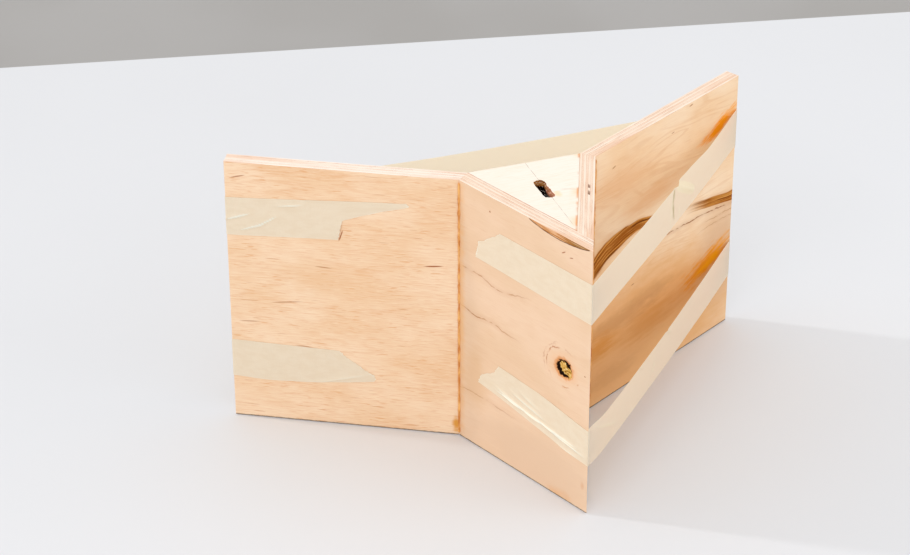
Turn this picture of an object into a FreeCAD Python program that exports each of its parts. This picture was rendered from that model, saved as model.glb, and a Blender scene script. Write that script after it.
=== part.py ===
import FreeCAD, Part
import math
import os

# Plywood stand in the middle of a glue-up: two flat wings and a V-shaped arm, closed at the top by
# a slotted triangular cap, with two bands of masking tape stretched round the three arm ends.
# Units are mm. +Z is up, the wings reach out along -X (left) and +X (right), the V's tip points
# along -Y, and the origin is at the centre of the base.

# ---- Driving dimensions -------------------------------------------------------------------------
HEIGHT = 340.0           # of every upright panel
BOARD = 18.0             # thickness of the panels' board
BOARD_PLIES = 7
WING_LENGTH = 267.5      # outer face of a wing, from its seam to its free end
ARM_LENGTH = 212.5       # outer face of a side of the V, from the tip to its seam
ARM_ANGLE = 22.5         # degrees between a side of the V and the plane midway between the sides
WING_ANGLE = 61.0        # degrees between a wing and the same plane

CAP_BOARD = 18.0         # thickness of the triangular cap's board
CAP_PLIES = 7
CAP_CLEARANCE = 0.1      # glue line between the cap's edges and the panels
SLOT_LENGTH = 42.0       # of the cap's slot, along the stand's middle plane
SLOT_WIDTH = 13.0
SLOT_CORNER = 5.0        # radius of the slot's corners
SLOT_FROM_BACK = 42.0    # the cap's back edge to the slot

SEAM_BEAD = 2.0          # leg of the glue squeezed out along an outer seam
TIP_BEAD = 5.0           # leg of the glue inside the V's tip
CAP_BEAD = 3.0           # leg of the glue under the cap's edges
BEAD_SHORT = 3.0         # a seam's bead stops this far from the floor and from the top
CAP_BEAD_SHORT = 12.0    # the cap's beads stop this far from the corners of its triangle

TAPE_WIDTH = 50.0
TAPE = 0.3               # thickness of the tape
TAPE_CLEARANCE = 0.1     # adhesive between the tape and the wood
TAPE_BEND_STEPS = 3      # flats that make one bend of the tape

# Each band's middle height at the left wing's end, at the V's tip and at the right wing's end,
# then how far from the left seam its two ends stop: on the left wing, and on the V's left side.
BANDS = {
    "upper_tape_band": {"left": 270.0, "tip": 274.0, "right": 270.0, "off_wing": 57.5, "off_arm": 28.5},
    "lower_tape_band": {"left": 80.0, "tip": 88.0, "right": 90.0, "off_wing": 98.5, "off_arm": 32.5},
}

UP = FreeCAD.Vector(0, 0, 1)


# ---- Plan geometry ------------------------------------------------------------------------------
def heading(degrees):
    """The level unit vector that many degrees clockwise of +Y, seen from above."""
    angle = math.radians(degrees)
    return FreeCAD.Vector(math.sin(angle), math.cos(angle), 0)


def left_of(direction):
    """The level direction a quarter turn anticlockwise of another."""
    return FreeCAD.Vector(-direction.y, direction.x, 0)


def right_of(direction):
    """The level direction a quarter turn clockwise of another."""
    return FreeCAD.Vector(direction.y, -direction.x, 0)


def crossing(point_a, along_a, point_b, along_b):
    """Where two level lines cross."""
    gap = point_b - point_a
    turn = along_a.x * along_b.y - along_a.y * along_b.x
    distance = (gap.x * along_b.y - gap.y * along_b.x) / turn
    return point_a + along_a * distance


# The plan's outer lines, with the tip at the plan's own origin until everything is centred.
LEFT_ARM_WAY = heading(-ARM_ANGLE)
RIGHT_ARM_WAY = heading(ARM_ANGLE)
LEFT_WING_WAY = heading(-WING_ANGLE)
RIGHT_WING_WAY = heading(WING_ANGLE)
TAPE_REACH = TAPE_CLEARANCE + TAPE
DEPTH = ARM_LENGTH * LEFT_ARM_WAY.y + WING_LENGTH * LEFT_WING_WAY.y + BOARD * right_of(LEFT_WING_WAY).y
TIP = FreeCAD.Vector(0, -DEPTH / 2, 0)
LEFT_SEAM = TIP + LEFT_ARM_WAY * ARM_LENGTH
RIGHT_SEAM = TIP + RIGHT_ARM_WAY * ARM_LENGTH
LEFT_END = LEFT_SEAM + LEFT_WING_WAY * WING_LENGTH
RIGHT_END = RIGHT_SEAM + RIGHT_WING_WAY * WING_LENGTH

# Unit vectors through each panel's thickness, from its outer face to its inner one.
LEFT_ARM_IN = right_of(LEFT_ARM_WAY)
RIGHT_ARM_IN = left_of(RIGHT_ARM_WAY)
LEFT_WING_IN = right_of(LEFT_WING_WAY)
RIGHT_WING_IN = left_of(RIGHT_WING_WAY)

# Corners on the inner faces.
LEFT_SEAM_IN = crossing(LEFT_SEAM + LEFT_ARM_IN * BOARD, LEFT_ARM_WAY,
                        LEFT_SEAM + LEFT_WING_IN * BOARD, LEFT_WING_WAY)
RIGHT_SEAM_IN = crossing(RIGHT_SEAM + RIGHT_ARM_IN * BOARD, RIGHT_ARM_WAY,
                         RIGHT_SEAM + RIGHT_WING_IN * BOARD, RIGHT_WING_WAY)
TIP_IN = crossing(TIP + LEFT_ARM_IN * BOARD, LEFT_ARM_WAY, TIP + RIGHT_ARM_IN * BOARD, RIGHT_ARM_WAY)


# ---- Solids -------------------------------------------------------------------------------------
def prism(corners, thickness):
    """A solid of one thickness above a flat outline."""
    return Part.Face(Part.makePolygon(corners + corners[:1])).extrude(UP * thickness)


def ply_name(piece, number, count):
    """The node name of a ply: its face and back plies by name, and those between by number."""
    names = {1: "face_ply", count: "back_ply"}
    return f"{piece}_{names.get(number, f'ply_{number}')}"


def panel_plies(piece, start, way, inward, first_cut, last_cut):
    """A panel's plies, from its outer face inwards.

    The panel's outer face runs along way through start, and each cut is a (point, direction) line
    that ends all of its plies, so that a mitre or a bevel crosses them as a saw does.
    """
    ply = BOARD / BOARD_PLIES
    solids = {}
    for number in range(1, BOARD_PLIES + 1):
        outer = start + inward * (ply * (number - 1))
        inner = start + inward * (ply * number)
        corners = [
            crossing(outer, way, *first_cut),
            crossing(outer, way, *last_cut),
            crossing(inner, way, *last_cut),
            crossing(inner, way, *first_cut),
        ]
        solids[ply_name(piece, number, BOARD_PLIES)] = prism(corners, HEIGHT)
    return solids


def panels():
    """The four upright panels: mitred at the two seams, and lapped at the tip.

    The left side of the V runs through to the tip, where it is bevelled flush with the right
    side's outer face, and the right side butts against the left side's inner face.
    """
    left_mitre = (LEFT_SEAM, LEFT_SEAM_IN - LEFT_SEAM)
    right_mitre = (RIGHT_SEAM, RIGHT_SEAM_IN - RIGHT_SEAM)
    tip_bevel = (TIP, RIGHT_ARM_WAY)
    tip_butt = (TIP + LEFT_ARM_IN * BOARD, LEFT_ARM_WAY)
    solids = {}
    solids.update(panel_plies("left_wing", LEFT_SEAM, LEFT_WING_WAY, LEFT_WING_IN,
                              left_mitre, (LEFT_END, LEFT_WING_IN)))
    solids.update(panel_plies("left_arm", TIP, LEFT_ARM_WAY, LEFT_ARM_IN, tip_bevel, left_mitre))
    solids.update(panel_plies("right_arm", TIP, RIGHT_ARM_WAY, RIGHT_ARM_IN, tip_butt, right_mitre))
    solids.update(panel_plies("right_wing", RIGHT_SEAM, RIGHT_WING_WAY, RIGHT_WING_IN,
                              right_mitre, (RIGHT_END, RIGHT_WING_IN)))
    return solids


def slot_cutter(height):
    """The slot's solid, a rounded rectangle on the stand's middle plane."""
    far = LEFT_SEAM_IN.y - SLOT_FROM_BACK
    corner = FreeCAD.Vector(-SLOT_WIDTH / 2, far - SLOT_LENGTH, HEIGHT - height)
    block = Part.makeBox(SLOT_WIDTH, SLOT_LENGTH, height, corner)
    upright = [edge for edge in block.Edges if abs(edge.tangentAt(edge.FirstParameter).z) > 0.9]
    return block.makeFillet(SLOT_CORNER, upright)


def cap():
    """The triangular cap's plies, flush with the panels' tops, with the slot through all of them."""
    left_line = (TIP_IN + LEFT_ARM_IN * CAP_CLEARANCE, LEFT_ARM_WAY)
    right_line = (TIP_IN + RIGHT_ARM_IN * CAP_CLEARANCE, RIGHT_ARM_WAY)
    back_line = (LEFT_SEAM_IN, RIGHT_SEAM_IN - LEFT_SEAM_IN)
    outline = [crossing(*left_line, *right_line), crossing(*right_line, *back_line),
               crossing(*left_line, *back_line)]
    slot = slot_cutter(CAP_BOARD)
    ply = CAP_BOARD / CAP_PLIES
    solids = {}
    for number in range(1, CAP_PLIES + 1):
        bottom = UP * (HEIGHT - ply * number)
        sheet = prism([corner + bottom for corner in outline], ply)
        solids[ply_name("cap", number, CAP_PLIES)] = sheet.cut(slot)
    return solids


def upright_bead(corner, way_a, way_b, leg, bottom, top):
    """Glue in the corner between two upright faces."""
    foot = corner + UP * bottom
    return prism([foot, foot + way_a * leg, foot + way_b * leg], top - bottom)


def cap_bead(way, inward):
    """Glue in the corner between the cap's underside and a side of the V."""
    under = UP * (HEIGHT - CAP_BOARD)
    length = (LEFT_SEAM_IN - TIP_IN).Length - 2 * CAP_BEAD_SHORT
    corner = TIP_IN + way * CAP_BEAD_SHORT + under
    outline = [corner, corner + inward * CAP_BEAD, corner - UP * CAP_BEAD]
    return Part.Face(Part.makePolygon(outline + outline[:1])).extrude(way * length)


def glue():
    """The glue squeezed out of the joints."""
    top = HEIGHT - BEAD_SHORT
    return {
        "left_seam_glue": upright_bead(LEFT_SEAM, LEFT_WING_WAY, -LEFT_ARM_WAY,
                                       SEAM_BEAD, BEAD_SHORT, top),
        "right_seam_glue": upright_bead(RIGHT_SEAM, RIGHT_WING_WAY, -RIGHT_ARM_WAY,
                                        SEAM_BEAD, BEAD_SHORT, top),
        "tip_glue": upright_bead(TIP_IN, LEFT_ARM_WAY, RIGHT_ARM_WAY,
                                 TIP_BEAD, BEAD_SHORT, HEIGHT - CAP_BOARD),
        "left_cap_glue": cap_bead(LEFT_ARM_WAY, LEFT_ARM_IN),
        "right_cap_glue": cap_bead(RIGHT_ARM_WAY, RIGHT_ARM_IN),
    }


def wrapped(route, distance):
    """A route's points moved out to its left by a distance, with each corner rounded by flats."""
    points = []
    for index, corner in enumerate(route):
        before = left_of((corner - route[max(index - 1, 0)]).normalize()) if index else None
        after = None
        if index < len(route) - 1:
            after = left_of((route[index + 1] - corner).normalize())
        if before is None or after is None:
            points.append(corner + (before or after) * distance)
            continue
        turn = before.getAngle(after)
        for step in range(TAPE_BEND_STEPS + 1):
            bend = FreeCAD.Rotation(UP, -math.degrees(turn) * step / TAPE_BEND_STEPS)
            points.append(corner + bend.multVec(before) * distance)
    return points


def tape_band(left, tip, right, off_wing, off_arm):
    """One band: stuck on the left wing's face, round its end, straight across the back, round the
    right wing's end, straight to the V's tip, round it, and stuck on the V's left side.

    Its middle lies on the one tilted plane that has its three heights.
    """
    route = [
        LEFT_SEAM + LEFT_WING_WAY * off_wing,
        LEFT_END,
        LEFT_END + LEFT_WING_IN * BOARD,
        RIGHT_END + RIGHT_WING_IN * BOARD,
        RIGHT_END,
        TIP,
        LEFT_SEAM - LEFT_ARM_WAY * off_arm,
    ]
    across = (right - left) / (RIGHT_END.x - LEFT_END.x)
    back = ((left + right) / 2 - tip) / (RIGHT_END.y - TIP.y)
    low = tip - TAPE_WIDTH / 2
    inner = wrapped(route, TAPE_CLEARANCE)
    outer = wrapped(route, TAPE_REACH)
    outline = [
        FreeCAD.Vector(point.x, point.y, low + across * point.x + back * (point.y - TIP.y))
        for point in inner + outer[::-1]
    ]
    return prism(outline, TAPE_WIDTH)


def tape():
    """The two bands of masking tape."""
    return {name: tape_band(**band) for name, band in BANDS.items()}


# ---- Output -------------------------------------------------------------------------------------
def main():
    solids = {}
    for group in (panels(), cap(), glue(), tape()):
        solids.update(group)
    os.makedirs("parts", exist_ok=True)
    for name, solid in solids.items():
        solid.exportStep(f"parts/{name}.step")
        box = solid.BoundBox
        print(f"{name}: {solid.Volume:.1f} mm3, valid {solid.isValid()}, "
              f"x {box.XMin:.2f}..{box.XMax:.2f} y {box.YMin:.2f}..{box.YMax:.2f} "
              f"z {box.ZMin:.2f}..{box.ZMax:.2f}")
    print(f"{len(solids)} pieces")


main()
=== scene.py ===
"""Looks for a plywood stand that two bands of masking tape hold while its glue sets.

Every length is in metres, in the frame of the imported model: +Z up, the V's tip along -Y, and the
wings along -X and +X. Each board has its own coordinates: s along the board from its start, z up,
and d through its thickness from its outer face. Its pieces carry them as the attribute "grain".
"""

from __future__ import annotations

import logging
import math
from dataclasses import dataclass, field
from enum import Enum
from typing import Callable, Sequence, Union

import bmesh
import bpy
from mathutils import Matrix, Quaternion, Vector, geometry, noise

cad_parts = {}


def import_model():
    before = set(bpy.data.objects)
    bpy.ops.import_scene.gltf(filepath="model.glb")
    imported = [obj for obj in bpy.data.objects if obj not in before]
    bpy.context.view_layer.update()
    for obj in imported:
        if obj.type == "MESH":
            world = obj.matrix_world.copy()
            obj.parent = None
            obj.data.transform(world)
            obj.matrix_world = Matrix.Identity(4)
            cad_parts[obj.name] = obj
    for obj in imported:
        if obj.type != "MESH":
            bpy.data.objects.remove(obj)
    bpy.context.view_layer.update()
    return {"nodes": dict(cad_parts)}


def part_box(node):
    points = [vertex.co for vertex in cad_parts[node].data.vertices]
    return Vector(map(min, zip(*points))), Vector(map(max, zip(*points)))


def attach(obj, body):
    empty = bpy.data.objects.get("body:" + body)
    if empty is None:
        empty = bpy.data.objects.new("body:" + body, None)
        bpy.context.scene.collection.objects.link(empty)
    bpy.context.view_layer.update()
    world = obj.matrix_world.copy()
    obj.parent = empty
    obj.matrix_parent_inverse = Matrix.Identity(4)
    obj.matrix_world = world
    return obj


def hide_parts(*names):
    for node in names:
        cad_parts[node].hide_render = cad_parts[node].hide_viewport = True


LOG = logging.getLogger("stand")
UP = Vector((0, 0, 1))
NEAR = 0.0001
GRAIN = "grain"
THROUGH = "through"
CREST = "crest"
FLAT = "flat"

Colour = tuple[float, float, float]
Pairs = tuple[tuple[float, float], ...]


def paint(red: float, green: float, blue: float) -> Colour:
    """A colour given as it looks on a screen, 0 to 255, made linear.

    Args:
        red: red, 0 to 255.
        green: green, 0 to 255.
        blue: blue, 0 to 255.

    Returns:
        The linear colour, 0 to 1.
    """

    def linear(value: float) -> float:
        """One channel of it."""
        value /= 255
        return value / 12.92 if value <= 0.04045 else ((value + 0.055) / 1.055) ** 2.4

    return (linear(red), linear(green), linear(blue))


# ---- Node trees ---------------------------------------------------------------------------------
def math_method(operation: str, swapped: bool = False) -> Callable[..., "Socket"]:
    """A method that adds a Math node to a socket's tree.

    Args:
        operation: the node's operation.
        swapped: whether the socket comes last among the node's inputs instead of first.

    Returns:
        The method.
    """

    def method(self: "Socket", *others: "Value") -> "Socket":
        """Adds the node and gives its output."""
        values = (*others, self) if swapped else (self, *others)
        return self.graph.node("ShaderNodeMath", {"operation": operation}, dict(enumerate(values)))

    return method


class Socket:
    """A node's output that can be used in arithmetic."""

    def __init__(self, graph: "Tree", socket: bpy.types.NodeSocket | None) -> None:
        """Wraps an output of a node in a tree."""
        self.graph = graph
        self.socket = socket

    __add__ = math_method("ADD")
    __radd__ = math_method("ADD", swapped=True)
    __sub__ = math_method("SUBTRACT")
    __rsub__ = math_method("SUBTRACT", swapped=True)
    __mul__ = math_method("MULTIPLY")
    __rmul__ = math_method("MULTIPLY", swapped=True)
    __truediv__ = math_method("DIVIDE")
    __pow__ = math_method("POWER")
    __abs__ = math_method("ABSOLUTE")
    sine = math_method("SINE")
    least = math_method("MINIMUM")
    most = math_method("MAXIMUM")

    def rise(self, low: "Value", high: "Value") -> "Socket":
        """A smooth step from 0 at low to 1 at high."""
        return self.graph.node(
            "ShaderNodeMapRange",
            {"interpolation_type": "SMOOTHSTEP"},
            {"Value": self, "From Min": low, "From Max": high},
        )


Value = Union[Socket, float, int, Colour, Vector]


class Tree:
    """A node tree, to which every node is added by one method."""

    def __init__(self, tree: bpy.types.NodeTree) -> None:
        """Wraps a node tree."""
        self.tree = tree

    def node(
        self,
        kind: str,
        settings: dict | None = None,
        inputs: dict | None = None,
        output: int | str | None = 0,
    ) -> Socket:
        """Adds a node.

        Args:
            kind: the node's type.
            settings: its settings, set first; "stops" are a ramp's stops, as (place, height).
            inputs: values or links for its sockets, by name or number; a list links several.
            output: which output is wanted, or None for a node that has none.

        Returns:
            That output.
        """
        node = self.tree.nodes.new(kind)
        for key, value in (settings or {}).items():
            if key == "stops":
                self.fill(node.color_ramp, value)
            else:
                setattr(node, key, value)
        for key, value in (inputs or {}).items():
            socket = node.inputs[key]
            for source in value if isinstance(value, list) else [value]:
                if isinstance(source, Socket):
                    self.tree.links.new(source.socket, socket)
                elif socket.type == "RGBA":
                    socket.default_value = (*source, 1)
                else:
                    socket.default_value = source
        return Socket(self, None if output is None else node.outputs[output])

    @staticmethod
    def fill(ramp: bpy.types.ColorRamp, stops: Sequence[tuple[float, float]]) -> None:
        """Sets a ramp's stops, with a smooth curve through them.

        Args:
            ramp: the ramp.
            stops: (place, height) pairs.
        """
        ramp.interpolation = "B_SPLINE"
        while len(ramp.elements) < len(stops):
            ramp.elements.new(0.5)
        for element, (place, height) in zip(ramp.elements, stops):
            element.position = place
            element.color = (height, height, height, 1)


class Graph(Tree):
    """The node tree of one material."""

    def __init__(self, name: str) -> None:
        """Makes an empty material of that name."""
        self.material = bpy.data.materials.new(name)
        self.material.use_nodes = True
        super().__init__(self.material.node_tree)
        self.tree.nodes.clear()

    def attribute(self, name: str) -> Socket:
        """The vector attribute of that name."""
        return self.node("ShaderNodeAttribute", {"attribute_name": name}, output="Vector")

    def split(self, vector: Socket) -> tuple[Socket, Socket, Socket]:
        """The three parts of a vector."""
        node = self.node("ShaderNodeSeparateXYZ", None, {0: vector}).socket.node
        first, second, third = (Socket(self, output) for output in node.outputs)
        return first, second, third

    def join(self, first: Value, second: Value, third: Value) -> Socket:
        """A vector made of three values."""
        return self.node("ShaderNodeCombineXYZ", None, {0: first, 1: second, 2: third})

    def stretch(
        self, vector: Socket, scale: Sequence[float], shift: Sequence[float] = (0, 0, 0)
    ) -> Socket:
        """A vector scaled, and then moved.

        Args:
            vector: the vector.
            scale: what each part is multiplied by.
            shift: what is added to each part.

        Returns:
            The new vector.
        """
        settings = {"operation": "MULTIPLY_ADD"}
        return self.node("ShaderNodeVectorMath", settings, {0: vector, 1: tuple(scale), 2: tuple(shift)})

    def noise(
        self, vector: Socket, detail: float = 2, roughness: float = 0.5, bend: float = 0
    ) -> Socket:
        """Noise with a period of about 1, from about 0.2 to 0.8.

        Args:
            vector: where it is read.
            detail: octaves.
            roughness: how much the finer octaves weigh.
            bend: how much it is distorted.

        Returns:
            The noise.
        """
        inputs = {
            "Vector": vector,
            "Scale": 1.0,
            "Detail": detail,
            "Roughness": roughness,
            "Distortion": bend,
        }
        return self.node("ShaderNodeTexNoise", None, inputs)

    def mix(self, factor: Value, first: Value, second: Value) -> Socket:
        """A colour between two colours: the first where the factor is 0, the second where it is 1."""
        return self.node("ShaderNodeMix", {"data_type": "RGBA"}, {0: factor, 6: first, 7: second}, 2)

    def curve(self, place: Socket, points: Sequence[tuple[float, float]]) -> Socket:
        """Reads a smooth function given by (place, height) points that lie between 0 and 1."""
        return self.node("ShaderNodeValToRGB", {"stops": points}, {0: place})

    def finish(
        self,
        colour: Value,
        roughness: Value,
        height: Socket | None,
        deep: float,
        through: Value | None = None,
        **constants: Value,
    ) -> bpy.types.Material:
        """Adds the shader itself.

        Args:
            colour: the base colour.
            roughness: the roughness.
            height: the bump's height, 0 to 1, or None for no bump.
            deep: the bump's depth in metres.
            through: how much light passes through a thin surface, or None for none.
            **constants: other sockets of the shader, with underscores for spaces.

        Returns:
            The finished material.
        """
        inputs: dict = {"Base Color": colour, "Roughness": roughness}
        inputs.update({name.replace("_", " "): value for name, value in constants.items()})
        if height is not None:
            bump = {"Height": height, "Distance": deep, "Strength": 1.0}
            inputs["Normal"] = self.node("ShaderNodeBump", None, bump)
        shader = self.node("ShaderNodeBsdfPrincipled", None, inputs)
        if through is not None:
            behind = self.node("ShaderNodeBsdfTranslucent", None, {"Color": colour})
            shader = self.node("ShaderNodeMixShader", None, {0: through, 1: shader, 2: behind})
        self.node("ShaderNodeOutputMaterial", None, {"Surface": shader}, None)
        return self.material


# ---- Marks in a veneer --------------------------------------------------------------------------
@dataclass(frozen=True)
class Mark:
    """Something in a veneer that changes its colour. Subclasses say where and how."""

    def apply(self, graph: Graph, colour: Socket, along: Socket, height: Socket) -> Socket:
        """The colour with the mark on it.

        Args:
            graph: the material's graph.
            colour: the colour so far.
            along: s.
            height: z.

        Returns:
            The new colour.
        """
        raise NotImplementedError


@dataclass(frozen=True)
class Streak(Mark):
    """A band of fine dark mineral lines that follows a curve across the board."""

    path: Pairs
    length: float = 0.27
    tall: float = 0.34
    half: float = 0.014
    lines: float = 260.0
    strength: float = 0.9
    fade: tuple[float, float, float, float] = (-0.01, 0.0, 0.26, 0.275)
    seed: float = 0.0
    taper: float = 0.5
    dark: Colour = paint(160, 90, 26)
    halo: Colour = paint(208, 144, 70)
    black: Colour = paint(98, 50, 12)

    def apply(self, graph: Graph, colour: Socket, along: Socket, height: Socket) -> Socket:
        """Draws the halo, and then the lines in it."""
        stops = [(at / self.length, level / self.tall) for at, level in self.path]
        middle = graph.curve(along / self.length, stops) * self.tall
        drift = graph.noise(graph.join(along * 14, height * 8, self.seed), 2)
        offset = height - middle + (drift - 0.5) * (self.half * 0.9)
        fibre = graph.join(along * 9, offset * self.lines, self.seed + 3)
        lines = graph.noise(fibre, 3, 0.7)
        patch = graph.noise(graph.join(along * 16, offset * 45, self.seed + 9), 2).rise(0.3, 0.5)
        start, full, ending, end = self.fade
        present = along.rise(start, full) * (1 - along.rise(ending, end)) * self.strength
        narrow = self.half * (1 - along.rise(full, ending) * (1 - self.taper))
        share = abs(offset) / narrow
        envelope = (1 - (share + (lines - 0.5) * 0.8).rise(0.72, 1.0)) * present
        soft = (1 - share.rise(0.7, 1.7)) * present
        colour = graph.mix(soft * 0.3, colour, self.halo)
        solid = (envelope * 1.6).least(1.0)
        colour = graph.mix(solid, colour, self.halo)
        colour = graph.mix(solid * lines.rise(0.42, 0.5) * (0.5 + patch * 0.5), colour, self.dark)
        return graph.mix(solid * lines.rise(0.55, 0.62), colour, self.black)


@dataclass(frozen=True)
class GrowthLine(Mark):
    """One thin irregular line of darker wood."""

    path: Pairs
    length: float = 0.2125
    tall: float = 0.34
    half: float = 0.0011
    strength: float = 0.5
    fade: tuple[float, float] = (0.10, 0.16)
    seed: float = 0.0
    dark: Colour = paint(172, 104, 48)

    def apply(self, graph: Graph, colour: Socket, along: Socket, height: Socket) -> Socket:
        """Draws the line."""
        stops = [(at / self.length, level / self.tall) for at, level in self.path]
        middle = graph.curve(along / self.length, stops) * self.tall
        drift = graph.noise(graph.join(along * 45, height * 20, self.seed), 3, 0.6)
        offset = height - middle + (drift - 0.5) * 0.008
        thin = 1 - abs(offset / self.half).rise(0.2, 1.0)
        soft = 1 - abs(offset / (self.half * 7)).rise(0.0, 1.0)
        broken = graph.noise(graph.join(along * 70, height * 9, self.seed + 5), 2).rise(0.34, 0.6)
        ends = along.rise(*self.fade)
        colour = graph.mix(soft * ends * self.strength * 0.22, colour, self.dark)
        return graph.mix(thin * broken * ends * (self.strength * 1.5), colour, self.dark)


@dataclass(frozen=True)
class Knot(Mark):
    """A knot: rings round it, an orange halo, a dark bark rim and a gold heart with painted cream
    highlights.
    """

    place: tuple[float, float]
    radii: tuple[float, float]
    seed: float = 2.0
    heart: Colour = paint(216, 168, 84)
    rim: Colour = paint(30, 14, 6)
    halo: Colour = paint(222, 146, 84)

    def apply(self, graph: Graph, colour: Socket, along: Socket, height: Socket) -> Socket:
        """Draws the knot from the outside in."""
        across = (along - self.place[0]) / self.radii[0]
        upward = (height - self.place[1]) / self.radii[1]
        wobble = graph.noise(graph.join(along * 160, height * 160, self.seed), 3, 0.6)
        radius = (across * across + upward * upward) ** 0.5 + (wobble - 0.5) * 0.75
        around = graph.noise(graph.join(along * 60, height * 60, self.seed + 4), 2)
        side = (across * 0.8 + upward * 0.6).rise(-0.2, 2.2)
        for distance, strength in ((2.2, 0.7), (2.6, 0.3)):
            ring = 1 - abs(radius - distance).rise(0.02, 0.12)
            ring = ring * around.rise(0.46, 0.6) * side
            colour = graph.mix(ring * strength, colour, paint(182, 104, 62))
        corner = (0 - across * 0.5 - upward * 0.86).rise(1.5, 1.9)
        arc = (1 - abs(radius - 2.0).rise(0.03, 0.13)) * corner * around.rise(0.4, 0.5)
        colour = graph.mix(arc * 0.7, colour, paint(200, 122, 56))
        colour = graph.mix((1 - radius.rise(0.95, 2.0)) * 0.35, colour, paint(240, 186, 140))
        colour = graph.mix((1 - radius.rise(0.95, 1.4)) * 0.85, colour, self.halo)
        colour = graph.mix(1 - radius.rise(0.88, 1.0), colour, self.rim)
        grain = graph.noise(graph.join(along * 300, height * 420, self.seed + 7), 3, 0.6)
        heart = graph.mix(grain.rise(0.53, 0.62), self.heart, paint(128, 76, 20))
        # Painted highlights: cream flecks in the knot's heart.
        heart = graph.mix((1 - grain.rise(0.38, 0.45)) * 0.8, heart, paint(252, 232, 176))
        east, north = across + 0.2, upward + 0.02
        shape = (east * 0.8 + north * 0.6) ** 2 * 0.8 + (north * 0.8 - east * 0.6) ** 2 * 2.3
        inside = 1 - (shape + (wobble - 0.5) * 1.7).rise(0.56, 0.66)
        return graph.mix(inside, colour, heart)


@dataclass(frozen=True)
class BarkEdge(Mark):
    """A lens of bark along a board's top edge, with a dark lower rim."""

    start: float
    end: float
    deep: float
    top: float

    def apply(self, graph: Graph, colour: Socket, along: Socket, height: Socket) -> Socket:
        """Draws the lens and its rim."""
        share = ((along - self.start) / (self.end - self.start)).most(0.0).least(1.0)
        wobble = graph.noise(graph.join(along * 90, height * 30, 1.0), 3)
        sag = (share * math.pi).sine() ** 0.7 * self.deep * (0.85 + wobble * 0.3)
        below = self.top - height
        within = below - sag
        inside = 1 - within.rise(-0.0006, 0.0002)
        present = share.rise(0.0, 0.03) * (1 - share.rise(0.97, 1.0))
        fibre = graph.noise(graph.join(along * 40, height * 700, 4.0), 3)
        broken = graph.noise(graph.join(along * 60, height * 20, 8.0), 2).rise(0.4, 0.55)
        bark = graph.mix(fibre.rise(0.4, 0.62), paint(224, 166, 114), paint(182, 114, 54))
        early = 1 - share.rise(0.15, 0.55)
        bark = graph.mix(early * 0.7, bark, paint(140, 104, 50))
        colour = graph.mix(inside * present * (0.7 + fibre.rise(0.35, 0.55) * 0.3), colour, bark)
        rim = 1 - abs(within).rise(0.0001, 0.0009)
        return graph.mix(rim * present * (0.6 + broken * 0.4), colour, paint(92, 44, 10))


@dataclass(frozen=True)
class StainOrPaintedLight(Mark):
    """A soft patch of a darker or yellower colour: a real stain in some places, painted light or shade in
    others.
    """

    place: tuple[float, float]
    radii: tuple[float, float]
    colour: Colour = paint(216, 148, 72)
    strength: float = 0.5
    seed: float = 0.0
    tilt: float = 0.0
    core: float = 0.25
    streaks: float = 0.0
    rough: float = 1.3

    def apply(self, graph: Graph, colour: Socket, along: Socket, height: Socket) -> Socket:
        """Draws the patch."""
        cosine, sine = math.cos(math.radians(self.tilt)), math.sin(math.radians(self.tilt))
        right, above = along - self.place[0], height - self.place[1]
        across = (right * cosine + above * sine) / self.radii[0]
        upward = (above * cosine - right * sine) / self.radii[1]
        wobble = graph.noise(graph.join(along * 45, height * 110, self.seed), 3, 0.6)
        radius = (across * across + upward * upward) ** 0.5 + (wobble - 0.5) * self.rough
        if self.streaks:
            fibre = graph.noise(graph.join(across * 1.1, upward * 5, self.seed + 2), 4, 0.65, 0.4)
            radius = radius + (fibre - 0.5) * (self.streaks * 2)
        return graph.mix((1 - radius.rise(self.core, 1.15)) * self.strength, colour, self.colour)


@dataclass(frozen=True)
class Pin(Mark):
    """A short dark pin knot or fleck along the grain."""

    place: tuple[float, float]
    half: tuple[float, float] = (0.0035, 0.0008)
    slope: float = 0.12
    strength: float = 0.75

    def apply(self, graph: Graph, colour: Socket, along: Socket, height: Socket) -> Socket:
        """Draws the fleck."""
        across = (along - self.place[0]) / self.half[0]
        upward = (height - self.place[1] - (along - self.place[0]) * self.slope) / self.half[1]
        radius = across * across + upward * upward
        return graph.mix((1 - radius.rise(0.2, 1.4)) * self.strength, colour, paint(160, 84, 34))


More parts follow.
